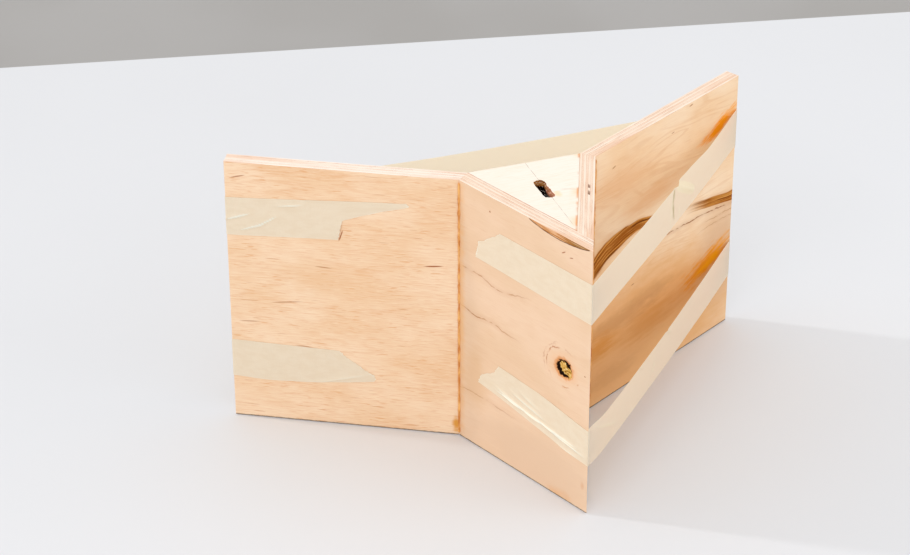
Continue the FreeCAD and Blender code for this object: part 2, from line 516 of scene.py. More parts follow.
# ---- Finishes -----------------------------------------------------------------------------------
@dataclass(frozen=True)
class VeneerFinish:
    """The sanded face of a board, with its grain along s, and a painted contact shadow along its foot."""

    name: str
    pale: Colour
    warm: Colour
    dash: Colour = paint(208, 146, 92)
    dashes: float = 0.5
    waves: float = 0.15
    cloud: float = 0.6
    fibres: float = 0.2
    slope: float = 0.0
    seed: float = 0.0
    marks: tuple[Mark, ...] = ()

    def build(self) -> bpy.types.Material:
        """Makes the material.

        Returns:
            The material.
        """
        graph = Graph(self.name)
        grain = graph.attribute(GRAIN)
        along, height, _ = graph.split(grain)
        level = height + along * self.slope
        spot = graph.join(along, level, self.seed)
        cloud = graph.noise(graph.stretch(spot, (9, 17, 1)), 3, 0.55)
        colour = graph.mix(cloud.rise(0.34, 0.68) * self.cloud, self.pale, self.warm)
        broad = graph.noise(graph.stretch(spot, (5, 30, 1), (3, 0, 0)), 2, 0.5, 0.5)
        rings = (broad * 55).sine()
        fading = graph.noise(graph.stretch(spot, (12, 26, 1), (6, 4, 0)), 2).rise(0.4, 0.62)
        colour = graph.mix(rings.rise(0.0, 1.0) * fading * self.waves, colour, self.dash)
        fibre = graph.noise(graph.stretch(spot, (38, 1150, 1), (7, 0, 0)), 3, 0.6)
        colour = graph.mix(fibre.rise(0.4, 0.7) * self.fibres, colour, self.dash)
        light = graph.noise(graph.stretch(spot, (60, 900, 1), (4, 9, 0)), 2, 0.5)
        colour = graph.mix(light.rise(0.54, 0.68) * self.fibres * 2.2, colour, self.pale)
        ticks = graph.noise(graph.stretch(spot, (60, 640, 1), (1, 5, 0)), 1, 0.5)
        groups = graph.noise(graph.stretch(spot, (16, 55, 1), (2, 2, 0)), 2, 0.5)
        tick = ticks.rise(0.585, 0.68) * (0.35 + groups.rise(0.42, 0.62) * 0.65)
        colour = graph.mix(tick * self.dashes, colour, self.dash)
        rare = graph.noise(graph.stretch(spot, (26, 420, 1), (11, 3, 0)), 1, 0.5)
        colour = graph.mix(rare.rise(0.70, 0.76) * self.dashes, colour, paint(196, 120, 58))
        for mark in self.marks:
            colour = mark.apply(graph, colour, along, height)
        # Painted contact shadow: a dark line along the foot of every face, with a wavy top.
        contact_shade_wobble = graph.noise(graph.join(along * 120, 0.0, self.seed), 3, 0.6)
        foot = 1 - (height + (contact_shade_wobble - 0.5) * 0.0016).rise(0.0014, 0.0026)
        colour = graph.mix(foot * 0.9, colour, paint(44, 24, 14))
        roughness = 0.5 + fibre * 0.22
        bump = fibre * 0.6 + (1 - tick) * 0.4
        return graph.finish(colour, roughness, bump, 0.00012, Specular_IOR_Level=0.02)


class GrainRun(Enum):
    """Which way a ply's fibres run: with the board's length, or up the board."""

    ALONG = (8.0, 900.0)
    ACROSS = (900.0, 8.0)


@dataclass(frozen=True)
class EdgeFinish:
    """The sawn edge of one ply, end grain or long grain as the cut goes."""

    name: str
    run: GrainRun
    pale: Colour
    deep: Colour
    pores: float
    seed: float = 0.0
    burnt: float = 0.35

    def build(self) -> bpy.types.Material:
        """Makes the material.

        Returns:
            The material.
        """
        graph = Graph(self.name)
        grain = graph.attribute(GRAIN)
        through, _, _ = graph.split(graph.attribute(THROUGH))
        along, upward = self.run.value
        fine = graph.noise(graph.stretch(grain, (along, upward, 1500), (self.seed, 0, 0)), 3, 0.65)
        patch = graph.noise(graph.stretch(grain, (30, 30, 300), (0, self.seed, 0)), 2)
        colour = graph.mix(patch.rise(0.35, 0.7) * 0.55, self.pale, self.deep)
        colour = graph.mix(fine.rise(0.42, 0.7) * 0.4, colour, self.deep)
        pore = graph.noise(graph.stretch(grain, (along * 1.6, upward * 1.6, 2600), (5, 1, 0)), 1)
        dots = pore.rise(0.66, 0.75) * self.pores
        colour = graph.mix(dots, colour, paint(150, 96, 62))
        broken = graph.noise(graph.stretch(grain, (55, 55, 90), (0, 0, self.seed)), 2, 0.6)
        joint = abs(through - 0.5).rise(0.44, 0.492)
        colour = graph.mix(joint * (0.25 + broken.rise(0.44, 0.6) * 0.75), colour, paint(166, 88, 50))
        burn = graph.noise(graph.stretch(grain, (7, 7, 160), (9, 9, self.seed)), 2)
        burn = burn.rise(0.62 - self.burnt * 0.2, 0.74 - self.burnt * 0.1)
        colour = graph.mix(burn * self.burnt, colour, paint(222, 156, 104))
        height = fine * 0.6 + (1 - dots) * 0.4
        return graph.finish(colour, 0.62 + fine * 0.2, height, 0.0002, Specular_IOR_Level=0.1)


@dataclass(frozen=True)
class CapFinish:
    """The cap's pale face, with the pencil line and the glue that crept along its edges.

    The stain and the curl are given as x, and how far they lie in front of the seam's corner.
    """

    name: str
    tip: Vector
    seam: Vector
    pencil: float
    pencil_ends: tuple[float, float]
    pencil_half: float = 0.0005
    stain: tuple[float, float] = (0.0105, 0.078)
    stain_radii: tuple[float, float] = (0.006, 0.009)
    curl: tuple[float, float] = (0.014, 0.104)
    curl_radius: float = 0.034
    glue_width: float = 0.00325
    creep_width: float = 0.012

    def build(self) -> bpy.types.Material:
        """Makes the material.

        Returns:
            The material.
        """
        graph = Graph(self.name)
        spot = graph.node("ShaderNodeTexCoord", output="Object")
        cloud = graph.noise(graph.stretch(spot, (10, 22, 1), (4, 1, 0)), 3)
        colour = graph.mix(cloud.rise(0.36, 0.7) * 0.55, paint(246, 237, 224), paint(244, 232, 214))
        fibre = graph.noise(graph.stretch(spot, (60, 1000, 1)), 3, 0.6)
        colour = graph.mix(fibre.rise(0.45, 0.72) * 0.2, colour, paint(226, 188, 140))
        for layer in (self.figured, self.pencilled, self.glued):
            colour = layer(graph, colour, spot)
        return graph.finish(colour, 0.55 + fibre * 0.15, fibre, 0.0001, Specular_IOR_Level=0.3)

    def figured(self, graph: Graph, colour: Socket, spot: Socket) -> Socket:
        """The colour with the small stain and the curl of the grain beside the slot.

        Args:
            graph: the material's graph.
            colour: the colour so far.
            spot: the place in the frame.

        Returns:
            The new colour.
        """
        across, along, _ = graph.split(spot)
        swirl = graph.noise(graph.stretch(spot, (26, 90, 1), (2, 3, 0)), 2, 0.5, 0.6)
        (east, front), (wide, long) = self.stain, self.stain_radii
        radius = ((across - east) / wide) ** 2 + ((along - self.seam.y + front) / long) ** 2
        near = 1 - (radius + (swirl - 0.5) * 2).rise(0.1, 1.2)
        colour = graph.mix(near * 0.6, colour, paint(252, 214, 160))
        east, front = self.curl
        away = ((across - east) ** 2 + (along - self.seam.y + front) ** 2) ** 0.5
        ring = 1 - abs(away - self.curl_radius).rise(0.0004, 0.0022)
        sweep = ring * across.rise(0.014, 0.022) * (1 - across.rise(0.03, 0.036))
        shown = along.rise(self.seam.y - 0.085, self.seam.y - 0.075)
        return graph.mix(sweep * shown * 0.35, colour, paint(206, 190, 170))

    def pencilled(self, graph: Graph, colour: Socket, spot: Socket) -> Socket:
        """The colour with the pencil line, which skips over the wood's pores.

        Args:
            graph: the material's graph.
            colour: the colour so far.
            spot: the place in the frame.

        Returns:
            The new colour.
        """
        across, along, _ = graph.split(spot)
        drift = graph.noise(graph.stretch(spot, (30, 30, 1)), 2)
        away = abs(across - self.pencil + (drift - 0.5) * 0.0012)
        line = 1 - away.rise(0.00012, self.pencil_half)
        skips = graph.noise(graph.stretch(spot, (200, 90, 1)), 2).rise(0.3, 0.55)
        low, high = self.pencil_ends
        span = along.rise(low, low + 0.004) * (1 - along.rise(high - 0.002, high))
        return graph.mix(line * skips * span * 0.6, colour, paint(148, 130, 116))

    def glued(self, graph: Graph, colour: Socket, spot: Socket) -> Socket:
        """The colour with glue soaked in along the right edge, and a thin line of it on the left.

        Args:
            graph: the material's graph.
            colour: the colour so far.
            spot: the place in the frame.

        Returns:
            The new colour.
        """
        across, along, _ = graph.split(spot)
        way = (self.seam - self.tip).normalized()
        inward = Vector((-way.y, way.x, 0))
        right = (across - self.tip.x) * inward.x + (along - self.tip.y) * inward.y
        left = (across - self.tip.x) * inward.x * -1 + (along - self.tip.y) * inward.y
        creep = graph.noise(graph.stretch(spot, (36, 36, 1), (8, 0, 0)), 2)
        wide = (1 - right.rise(0.001, self.creep_width)) * creep.rise(0.45, 0.7)
        colour = graph.mix(wide * 0.5, colour, paint(246, 204, 150))
        glue = 1 - right.rise(0.0004, self.glue_width)
        colour = graph.mix(glue * creep.rise(0.4, 0.62) * 0.8, colour, paint(226, 140, 66))
        thin = 1 - abs(left).rise(0.0003, 0.0012)
        return graph.mix(thin * (0.35 + creep.rise(0.4, 0.6) * 0.5), colour, paint(196, 110, 62))


@dataclass(frozen=True)
class ScorchShadeFinish:
    """The rough brown wall of the cap's slot; lower down it is painted black, partly charring and partly
    painted shade deep in the slot.
    """

    name: str
    top: float
    middle: float

    def build(self) -> bpy.types.Material:
        """Makes the material.

        Returns:
            The material.
        """
        graph = Graph(self.name)
        spot = graph.node("ShaderNodeTexCoord", output="Object")
        across, along, upward = graph.split(spot)
        layers = graph.noise(graph.stretch(spot, (70, 70, 1400)), 3, 0.6)
        blotch = graph.noise(graph.stretch(spot, (220, 220, 220)), 3, 0.6)
        below = self.top - upward + (blotch - 0.5) * 0.004
        colour = graph.mix(layers.rise(0.42, 0.6), paint(196, 132, 64), paint(122, 74, 30))
        rosy = across.rise(-0.001, 0.003) * (1 - along.rise(self.middle, self.middle + 0.012))
        colour = graph.mix(rosy * 0.85, colour, paint(214, 142, 112))
        colour = graph.mix(blotch.rise(0.56, 0.66) * 0.45, colour, paint(86, 44, 16))
        ridge = 1 - abs(below - 0.0042).rise(0.0003, 0.0012)
        colour = graph.mix(ridge * 0.6, colour, paint(222, 176, 116))
        # Painted black below about 6 mm: partly the charring, partly painted shade deep in the slot.
        deeper = below - rosy * 0.004
        colour = graph.mix(deeper.rise(0.0055, 0.0085), colour, paint(20, 8, 6))
        return graph.finish(colour, 0.85, layers * 0.5 + blotch * 0.5, 0.0004, Specular_IOR_Level=0.1)


@dataclass(frozen=True)
class GlueFinish:
    """Dried amber glue."""

    name: str = "dried_glue"

    def build(self) -> bpy.types.Material:
        """Makes the material.

        Returns:
            The material.
        """
        graph = Graph(self.name)
        spot = graph.node("ShaderNodeTexCoord", output="Object")
        thick = graph.noise(graph.stretch(spot, (160, 160, 60)), 3, 0.6)
        colour = graph.mix(thick.rise(0.36, 0.64), paint(244, 184, 104), paint(208, 124, 38))
        fine = graph.noise(graph.stretch(spot, (700, 700, 300)), 2)
        return graph.finish(colour, 0.28 + fine * 0.25, thick, 0.0004, Coat_Weight=0.3, Coat_Roughness=0.2)


@dataclass(frozen=True)
class TapeFinish:
    """Creped paper tape: cream, with fine ribs across it, and lit through where it hangs free; free runs
    are also painted paler, fold crests, torn ends and edges get painted highlights, and fold hollows get
    painted shade.
    """

    name: str
    colour: Colour
    shade: Colour

    def build(self) -> bpy.types.Material:
        """Makes the material; it reads metres along and across the tape, and its folds' heights.

        Returns:
            The material.
        """
        graph = Graph(self.name)
        along, across, free = graph.split(graph.attribute(FLAT))
        crest, _, _ = graph.split(graph.attribute(CREST))
        ribs = graph.noise(graph.join(along * 1500, across * 90, 0.0), 2, 0.5, 0.3)
        mottle = graph.noise(graph.join(along * 60, across * 110, 4.0), 3, 0.6)
        colour = graph.mix(mottle.rise(0.34, 0.68) * 0.5, self.colour, self.shade)
        colour = graph.mix(ribs.rise(0.45, 0.7) * 0.22, colour, self.shade)
        # Painted highlight: a paler line along both edges of the tape.
        edge = abs(across).rise(0.0235, 0.0249)
        colour = graph.mix(edge * 0.35, colour, paint(250, 240, 218))
        # Painted light: free runs, lit from behind, are painted paler, the back run most.
        colour = graph.mix((free * 0.8).least(1.0), colour, paint(255, 250, 238))
        # Painted highlight on the fold crests and the torn ends' fringes.
        colour = graph.mix(crest.rise(0.3, 1.3) * 0.95, colour, paint(255, 251, 234))
        # Painted shade in the folds' hollows.
        colour = graph.mix((0 - crest).rise(0.3, 1.6) * 0.55, colour, paint(200, 190, 136))
        height = ribs * 0.7 + mottle * 0.3
        return graph.finish(
            colour, 0.5 + ribs * 0.2, height, 0.00012, through=0.12 + free * 0.4, Specular_IOR_Level=0.3
        )


@dataclass(frozen=True)
class FloorFinish:
    """The plain pale surface that the stand is on."""

    name: str = "pale_floor"
    colour: Colour = paint(224, 225, 228)

    def build(self) -> bpy.types.Material:
        """Makes the material.

        Returns:
            The material.
        """
        graph = Graph(self.name)
        spot = graph.node("ShaderNodeTexCoord", output="Object")
        soft = graph.noise(graph.stretch(spot, (2, 2, 2)), 2)
        colour = graph.mix(soft.rise(0.3, 0.7) * 0.12, self.colour, paint(214, 214, 216))
        return graph.finish(colour, 0.6, None, 0, Specular_IOR_Level=0.2)


# ---- Boards -------------------------------------------------------------------------------------
def outward_of(way: Vector) -> Vector:
    """The level direction to the left of a direction."""
    return Vector((-way.y, way.x, 0))


def corners_of(node: bpy.types.Object) -> list[Vector]:
    """A CAD node's own corners, once each."""
    return [vertex.co.copy() for vertex in node.data.vertices]


def spaced(length: float, step: float, fine: Sequence[tuple[float, float, float]] = ()) -> list[float]:
    """Places along a length, closer together where that is asked for.

    Args:
        length: the length.
        step: the usual distance between places.
        fine: stretches as (start, end, distance).

    Returns:
        The places, from 0 to the length.
    """
    places = [0.0, length]
    for low, high, close in fine:
        count = max(1, round((high - low) / close))
        places += [low + (high - low) * number / count for number in range(count + 1)]
    count = max(1, round(length / step))
    for number in range(1, count):
        place = length * number / count
        if not any(low - step * 0.3 < place < high + step * 0.3 for low, high, _ in fine):
            places.append(place)
    return sorted(set(round(place, 6) for place in places if 0 <= place <= length))


def block_faces(counts: tuple[int, int, int]) -> list[tuple[str, tuple[tuple[int, int, int], ...]]]:
    """The outside of a block of cells.

    Args:
        counts: how many cells it has each way.

    Returns:
        For each square on the outside, its side and its four corners.
    """
    found = []
    names = (("first", "last"), ("bottom", "top"), ("front", "back"))
    for axis in range(3):
        one, two = [other for other in range(3) if other != axis]
        for side, level in zip(names[axis], (0, counts[axis])):
            for a in range(counts[one]):
                for b in range(counts[two]):
                    square = []
                    for da, db in ((0, 0), (1, 0), (1, 1), (0, 1)):
                        corner = [0, 0, 0]
                        corner[axis] = level
                        corner[one] = a + da
                        corner[two] = b + db
                        square.append(tuple(corner))
                    found.append((side, tuple(square)))
    return found


@dataclass
class Shell:
    """A closed mesh in the making, with vector attributes on its points."""

    name: str
    points: list[Vector] = field(default_factory=list)
    marks: dict[str, list[Vector]] = field(default_factory=dict)
    faces: list[tuple[int, ...]] = field(default_factory=list)
    finishes: list[int] = field(default_factory=list)

    def add_point(self, point: Vector, **marks: Vector) -> int:
        """Adds a point.

        Args:
            point: where it is.
            **marks: its attributes.

        Returns:
            Its number.
        """
        self.points.append(point)
        for name, value in marks.items():
            self.marks.setdefault(name, []).append(value)
        return len(self.points) - 1

    def add_face(self, face: Sequence[int], finish: int = 0) -> None:
        """Adds a face, with the number of its finish."""
        self.faces.append(tuple(face))
        self.finishes.append(finish)

    def make(self, materials: Sequence[bpy.types.Material], sharp: float = 35) -> bpy.types.Object:
        """Makes the object.

        Args:
            materials: its finishes, in order.
            sharp: the angle past which an edge is sharp, in degrees.

        Returns:
            The object.
        """
        mesh = bpy.data.meshes.new(self.name)
        mesh.from_pydata([tuple(point) for point in self.points], [], self.faces)
        for name, values in self.marks.items():
            attribute = mesh.attributes.new(name, "FLOAT_VECTOR", "POINT")
            flat = [number for value in values for number in value]
            attribute.data.foreach_set("vector", flat)
        for material in materials:
            mesh.materials.append(material)
        mesh.polygons.foreach_set("material_index", self.finishes)
        working = bmesh.new()
        working.from_mesh(mesh)
        bmesh.ops.recalc_face_normals(working, faces=working.faces)
        working.to_mesh(mesh)
        working.free()
        mesh.shade_smooth()
        mesh.set_sharp_from_angle(angle=math.radians(sharp))
        mesh.update()
        made = bpy.data.objects.new(self.name, mesh)
        bpy.context.scene.collection.objects.link(made)
        return made


@dataclass(frozen=True)
class Dent:
    """A place where a board's face is lower: a knot's cracked rim, or a strip of bark."""

    place: tuple[float, float]
    radii: tuple[float, float]
    deep: float
    inner: float = 0.0
    rim: float = 1.0

    def at(self, along: float, height: float) -> float:
        """How deep the face is there.

        Args:
            along: s.
            height: z.

        Returns:
            The depth in metres.
        """
        spot = Vector((along * 160, height * 160, 2))
        across = (along - self.place[0]) / self.radii[0]
        upward = (height - self.place[1]) / self.radii[1]
        radius = math.hypot(across, upward) + noise.noise(spot) * 0.22
        if radius > 1.15:
            return 0.0
        edge = min(1.0, max(0.0, (1.15 - radius) / 0.25))
        heart = min(1.0, max(0.0, (0.62 - radius) / 0.2))
        rough = 0.75 + 0.5 * abs(noise.noise(spot * 2.3))
        return rough * (edge * self.deep * (1 - heart) + heart * self.inner)


@dataclass(frozen=True)
class Chip:
    """A short gap in one ply's top edge, placed from the board's first end."""

    ply: int
    place: float
    half: float
    deep: float

    def at(self, place: float, along: float) -> float:
        """How deep the gap is there.

        Args:
            place: the distance from the board's first end.
            along: s.

        Returns:
            The depth in metres.
        """
        reach = abs(place - self.place) / self.half
        reach += noise.noise(Vector((along * 300, 4, 4))) * 0.5
        return self.deep * min(1.0, max(0.0, (1.2 - reach) / 0.3))


@dataclass(frozen=True)
class Lattice:
    """The lattice that one ply's mesh is made on; its bare layer is the one that shows as a face."""

    number: int
    columns: list[float]
    rows: list[float]
    layers: list[float]
    bare: int | None
    chips: list[Chip]

    def counts(self) -> tuple[int, int, int]:
        """How many cells it has each way."""
        return len(self.columns) - 1, len(self.rows) - 1, len(self.layers) - 1


@dataclass
class Board:
    """One plywood board, with all its plies, as it stands in the frame."""

    name: str
    nodes: dict[str, bpy.types.Object]
    start: Vector
    toward: Vector
    face: VeneerFinish
    back: VeneerFinish
    step: float = 0.006
    fine_along: tuple[tuple[float, float, float], ...] = ()
    fine_up: tuple[tuple[float, float, float], ...] = ()
    dents: tuple[Dent, ...] = ()
    chips: tuple[Chip, ...] = ()
    arris: float = 0.0003
    wander: float = 0.00016
    recess: float = 0.00006
    ragged: float = 0.00018
    foot: float = 0.0009
    ripple: float = 0.00005
    seed: float = 0.0

    def __post_init__(self) -> None:
        """Measures the board's CAD nodes."""
        middle = sorted(name for name in self.nodes if name.startswith(self.name + "_ply"))
        self.plies = [f"{self.name}_face_ply", *middle, f"{self.name}_back_ply"]
        self.way = (self.toward - self.start).normalized()
        side = outward_of(self.way)
        back = corners_of(self.nodes[self.plies[-1]])
        centre = sum(back, Vector()) / len(back)
        self.inward = side if side.dot(centre - self.start) > 0 else -side
        self.depths = [0.0]
        for ply in self.plies:
            deep = max(self.measure(corner)[1] for corner in corners_of(self.nodes[ply]))
            self.depths.append(deep)
        self.thick = self.depths[-1]
        self.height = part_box(self.plies[0])[1].z
        outer = [self.measure(corner) for corner in corners_of(self.nodes[self.plies[0]])]
        inner = [self.measure(corner) for corner in back]
        outer_s = [s for s, d in outer if d < NEAR]
        inner_s = [s for s, d in inner if d > self.thick - NEAR]
        self.ends = ((min(outer_s), min(inner_s)), (max(outer_s), max(inner_s)))

    def measure(self, point: Vector) -> tuple[float, float]:
        """The s and d of a point in the frame."""
        offset = point - self.start
        return offset.dot(self.way), offset.dot(self.inward)

    def point(self, along: float, deep: float, height: float) -> Vector:
        """The place in the frame of a point given as s, d and z."""
        flat = self.start + self.way * along + self.inward * deep
        return Vector((flat.x, flat.y, height))

    def end(self, which: int, deep: float) -> float:
        """The s of an end's cut at a depth; which is 0 for the first end and 1 for the last."""
        outer, inner = self.ends[which]
        return outer + (inner - outer) * deep / self.thick

    def joint_depth(self, number: int, along: float, height: float) -> float:
        """How deep the glue line between two plies lies; it wanders a little.

        Args:
            number: which joint, counted from the outer face, which is 0.
            along: s.
            height: z.

        Returns:
            The depth.
        """
        deep = self.depths[number]
        if 0 < number < len(self.depths) - 1:
            spot = Vector((along * 45, height * 45, number * 7.3 + self.seed))
            deep += noise.noise(spot) * self.wander + noise.noise(spot * 0.3) * self.wander
        return deep

    def lattice(self, number: int) -> Lattice:
        """Lays out the lattice that one ply is made on.

        Args:
            number: which ply, counted from the outer face.

        Returns:
            The lattice.
        """
        last = len(self.plies) - 1
        share = self.arris / (self.depths[number + 1] - self.depths[number])
        start, end = self.ends[0][0], self.ends[1][0]
        chips = [chip for chip in self.chips if chip.ply == number]
        fine = [(chip.place - chip.half * 1.6, chip.place + chip.half * 1.6, 0.0006) for chip in chips]
        if number == 0:
            fine += [(low - start, high - start, step) for low, high, step in self.fine_along]
        coarse = self.step if number in (0, last) else self.step * 1.6
        return Lattice(
            number,
            spaced(end - start, coarse, fine),
            spaced(self.height, coarse, self.fine_up if number == 0 else ()),
            {0: [0.0, share, 1.0], last: [0.0, 1 - share, 1.0]}.get(number, [0.0, 1.0]),
            {0: 0, last: 2}.get(number),
            chips,
        )

    def place(self, grid: Lattice, corner: tuple[int, int, int]) -> tuple[Vector, dict[str, Vector]]:
        """Where a lattice point is, with the ends' cuts, the eased arrises and the dents.

        Args:
            grid: the ply's lattice.
            corner: the point's column, row and layer.

        Returns:
            The place in the frame and the point's attributes.
        """
        column, row, layer = corner
        number = grid.number
        outer = grid.bare is not None
        on_top = row == len(grid.rows) - 1
        height = grid.rows[row]
        rough_s = self.ends[0][0] + grid.columns[column]
        low = self.joint_depth(number, rough_s, height)
        high = self.joint_depth(number + 1, rough_s, height)
        deep = low + (high - low) * grid.layers[layer]
        inset = self.arris if layer == grid.bare else 0.0
        sunk = 0.0 if outer else self.recess * (1 + number % 2)
        first = self.end(0, deep) + inset + sunk
        final = self.end(1, deep) - inset - sunk
        along = first + (final - first) * (grid.columns[column] / (self.ends[1][0] - self.ends[0][0]))
        ragged = abs(noise.noise(Vector((along * 160, number * 3.1, self.seed)))) * self.ragged
        highest = self.height - inset - sunk - ragged * on_top
        height = min(max(height, inset + (self.foot if outer else 0.0)), highest)
        for chip in grid.chips if on_top else ():
            height -= chip.at(grid.columns[column], along)
        if number == 0 and layer == 0:
            deep += sum(dent.at(along, height) for dent in self.dents)
            ripple = noise.noise(Vector((along * 9, height * 9, self.seed)))
            deep += self.ripple * (1 + ripple)
        through = Vector((grid.layers[layer], 0, 0))
        marks = {GRAIN: Vector((along, height, deep)), THROUGH: through}
        return self.point(along, deep, height), marks

    def build_ply(self, number: int, materials: Sequence[bpy.types.Material]) -> bpy.types.Object:
        """Makes one ply as a closed mesh.

        Args:
            number: which ply, counted from the outer face.
            materials: its edge's finish, and its face's where it has one.

        Returns:
            The ply.
        """
        grid = self.lattice(number)
        shell = Shell(f"{self.plies[number]}_wood")
        made: dict[tuple[int, int, int], int] = {}
        shown = {0: "front", len(self.plies) - 1: "back"}.get(number)
        for side, square in block_faces(grid.counts()):
            for corner in square:
                if corner not in made:
                    point, marks = self.place(grid, corner)
                    made[corner] = shell.add_point(point, **marks)
            shell.add_face([made[corner] for corner in square], 1 if side == shown else 0)
        return shell.make(materials)

    def build(self, edges: Sequence[bpy.types.Material]) -> list[bpy.types.Object]:
        """Makes every ply and puts it in place of its CAD node.

        Args:
            edges: the edge finishes of plies that run along the board and across it.

        Returns:
            The plies.
        """
        face, back = self.face.build(), self.back.build()
        made = []
        last = len(self.plies) - 1
        for number, node in enumerate(self.plies):
            edge = edges[number % 2]
            shown = {0: [edge, face], last: [edge, back]}.get(number, [edge])
            ply = self.build_ply(number, shown)
            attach(ply, "root")
            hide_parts(node)
            made.append(ply)
            LOG.info("%s: %d faces", ply.name, len(ply.data.polygons))
        return made


# ---- The cap ------------------------------------------------------------------------------------
@dataclass
class Cap:
    """The plywood triangle let in between the arms, with its burnt slot."""

    nodes: dict[str, bpy.types.Object]
    jagged: float = 0.0011
    rim_step: float = 0.0009
    outline_step: float = 0.006
    corner_share: float = 0.42

    def __post_init__(self) -> None:
        """Measures the cap's CAD nodes."""
        middle = sorted(name for name in self.nodes if name.startswith("cap_ply_"))
        self.plies = ["cap_face_ply", *middle, "cap_back_ply"]
        flat = [corner.xy for corner in corners_of(self.nodes[self.plies[0]])]
        hull = geometry.convex_hull_2d(flat)
        self.outline = [flat[number].copy() for number in hull]
        west = min(point.x for point in self.outline)
        south = min(point.y for point in self.outline)
        north = max(point.y for point in self.outline)
        middle_x = [point for point in flat if abs(point.x) < abs(west) * 0.3]
        inside = [point for point in middle_x if south * 0.8 < point.y < north * 0.8]
        self.slot_low = Vector((min(point.x for point in inside), min(point.y for point in inside)))
        self.slot_high = Vector((max(point.x for point in inside), max(point.y for point in inside)))

    def rim(self, ply: int) -> list[Vector]:
        """The slot's torn outline in one ply.

        Args:
            ply: which ply, counted from the top.

        Returns:
            Points round it.
        """
        low, high = self.slot_low, self.slot_high
        radius = min(high - low) * self.corner_share
        corners = [
            (Vector((high.x - radius, high.y - radius)), 0),
            (Vector((low.x + radius, high.y - radius)), 90),
            (Vector((low.x + radius, low.y + radius)), 180),
            (Vector((high.x - radius, low.y + radius)), 270),
        ]
        smooth = []
        for centre, start in corners:
            for turn in range(0, 91, 15):
                angle = math.radians(start + turn)
                smooth.append(centre + Vector((math.cos(angle), math.sin(angle))) * radius)
        middle = (low + high) / 2
        points = []
        for here, there in zip(smooth, smooth[1:] + smooth[:1]):
            count = max(1, round((there - here).length / self.rim_step))
            for number in range(count):
                spot = here.lerp(there, number / count)
                outward = (spot - middle).normalized()
                rough = noise.noise(Vector((spot.x * 420, spot.y * 420, ply * 1.7)))
                broad = noise.noise(Vector((spot.x * 110, spot.y * 110, ply * 0.35)))
                points.append(spot + outward * self.jagged * (rough + broad * 1.3 - 0.35))
        return points

    def build_ply(self, number: int, materials: Sequence[bpy.types.Material]) -> bpy.types.Object:
        """Makes one ply of the cap as a closed mesh.

        Args:
            number: which ply, counted from the top.
            materials: finishes of its edge, its face and the slot's wall.

        Returns:
            The ply.
        """
        low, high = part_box(self.plies[number])
        outer = []
        for here, there in zip(self.outline, self.outline[1:] + self.outline[:1]):
            count = max(1, round((there - here).length / self.outline_step))
            outer += [here.lerp(there, step / count) for step in range(count)]
        loops = [outer, self.rim(number)]
        working = bmesh.new()
        edges = []
        for loop in loops:
            ring = [working.verts.new((*point, 0)) for point in loop]
            edges += [working.edges.new(pair) for pair in zip(ring, ring[1:] + ring[:1])]
        bmesh.ops.triangle_fill(working, use_beauty=True, use_dissolve=False, edges=edges)
        working.verts.index_update()
        flat = [vertex.co.xy.copy() for vertex in working.verts]
        triangles = [[vertex.index for vertex in face.verts] for face in working.faces]
        working.free()
        shell = Shell(f"{self.plies[number]}_wood")
        count = len(flat)
        for level, through in ((high.z, 0.0), (low.z, 1.0)):
            for point in flat:
                marks = {GRAIN: Vector((point.y, level, point.x)), THROUGH: Vector((through, 0, 0))}
                shell.add_point(Vector((*point, level)), **marks)
        for triangle in triangles:
            shell.add_face(triangle, 1)
            shell.add_face([corner + count for corner in reversed(triangle)], 1)
        start = 0
        for finish, loop in ((0, outer), (2, loops[1])):
            for step in range(len(loop)):
                here, there = start + step, start + (step + 1) % len(loop)
                shell.add_face([here, there, there + count, here + count], finish)
            start += len(loop)
        return shell.make(materials)

    def build(
        self, edges: Sequence[bpy.types.Material], face: bpy.types.Material, scorch_and_shade: bpy.types.Material
    ) -> list[bpy.types.Object]:
        """Makes the cap's plies and puts them in place of their CAD nodes.

        Args:
            edges: the edge finishes of plies along and across.
            face: the finish of its face.
            scorch_and_shade: the finish of the slot's wall.

        Returns:
            The plies.
        """
        made = []
        for number, node in enumerate(self.plies):
            ply = self.build_ply(number, [edges[number % 2], face, scorch_and_shade])
            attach(ply, "root")
            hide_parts(node)
            made.append(ply)
            LOG.info("%s: %d faces", ply.name, len(ply.data.polygons))
        return made


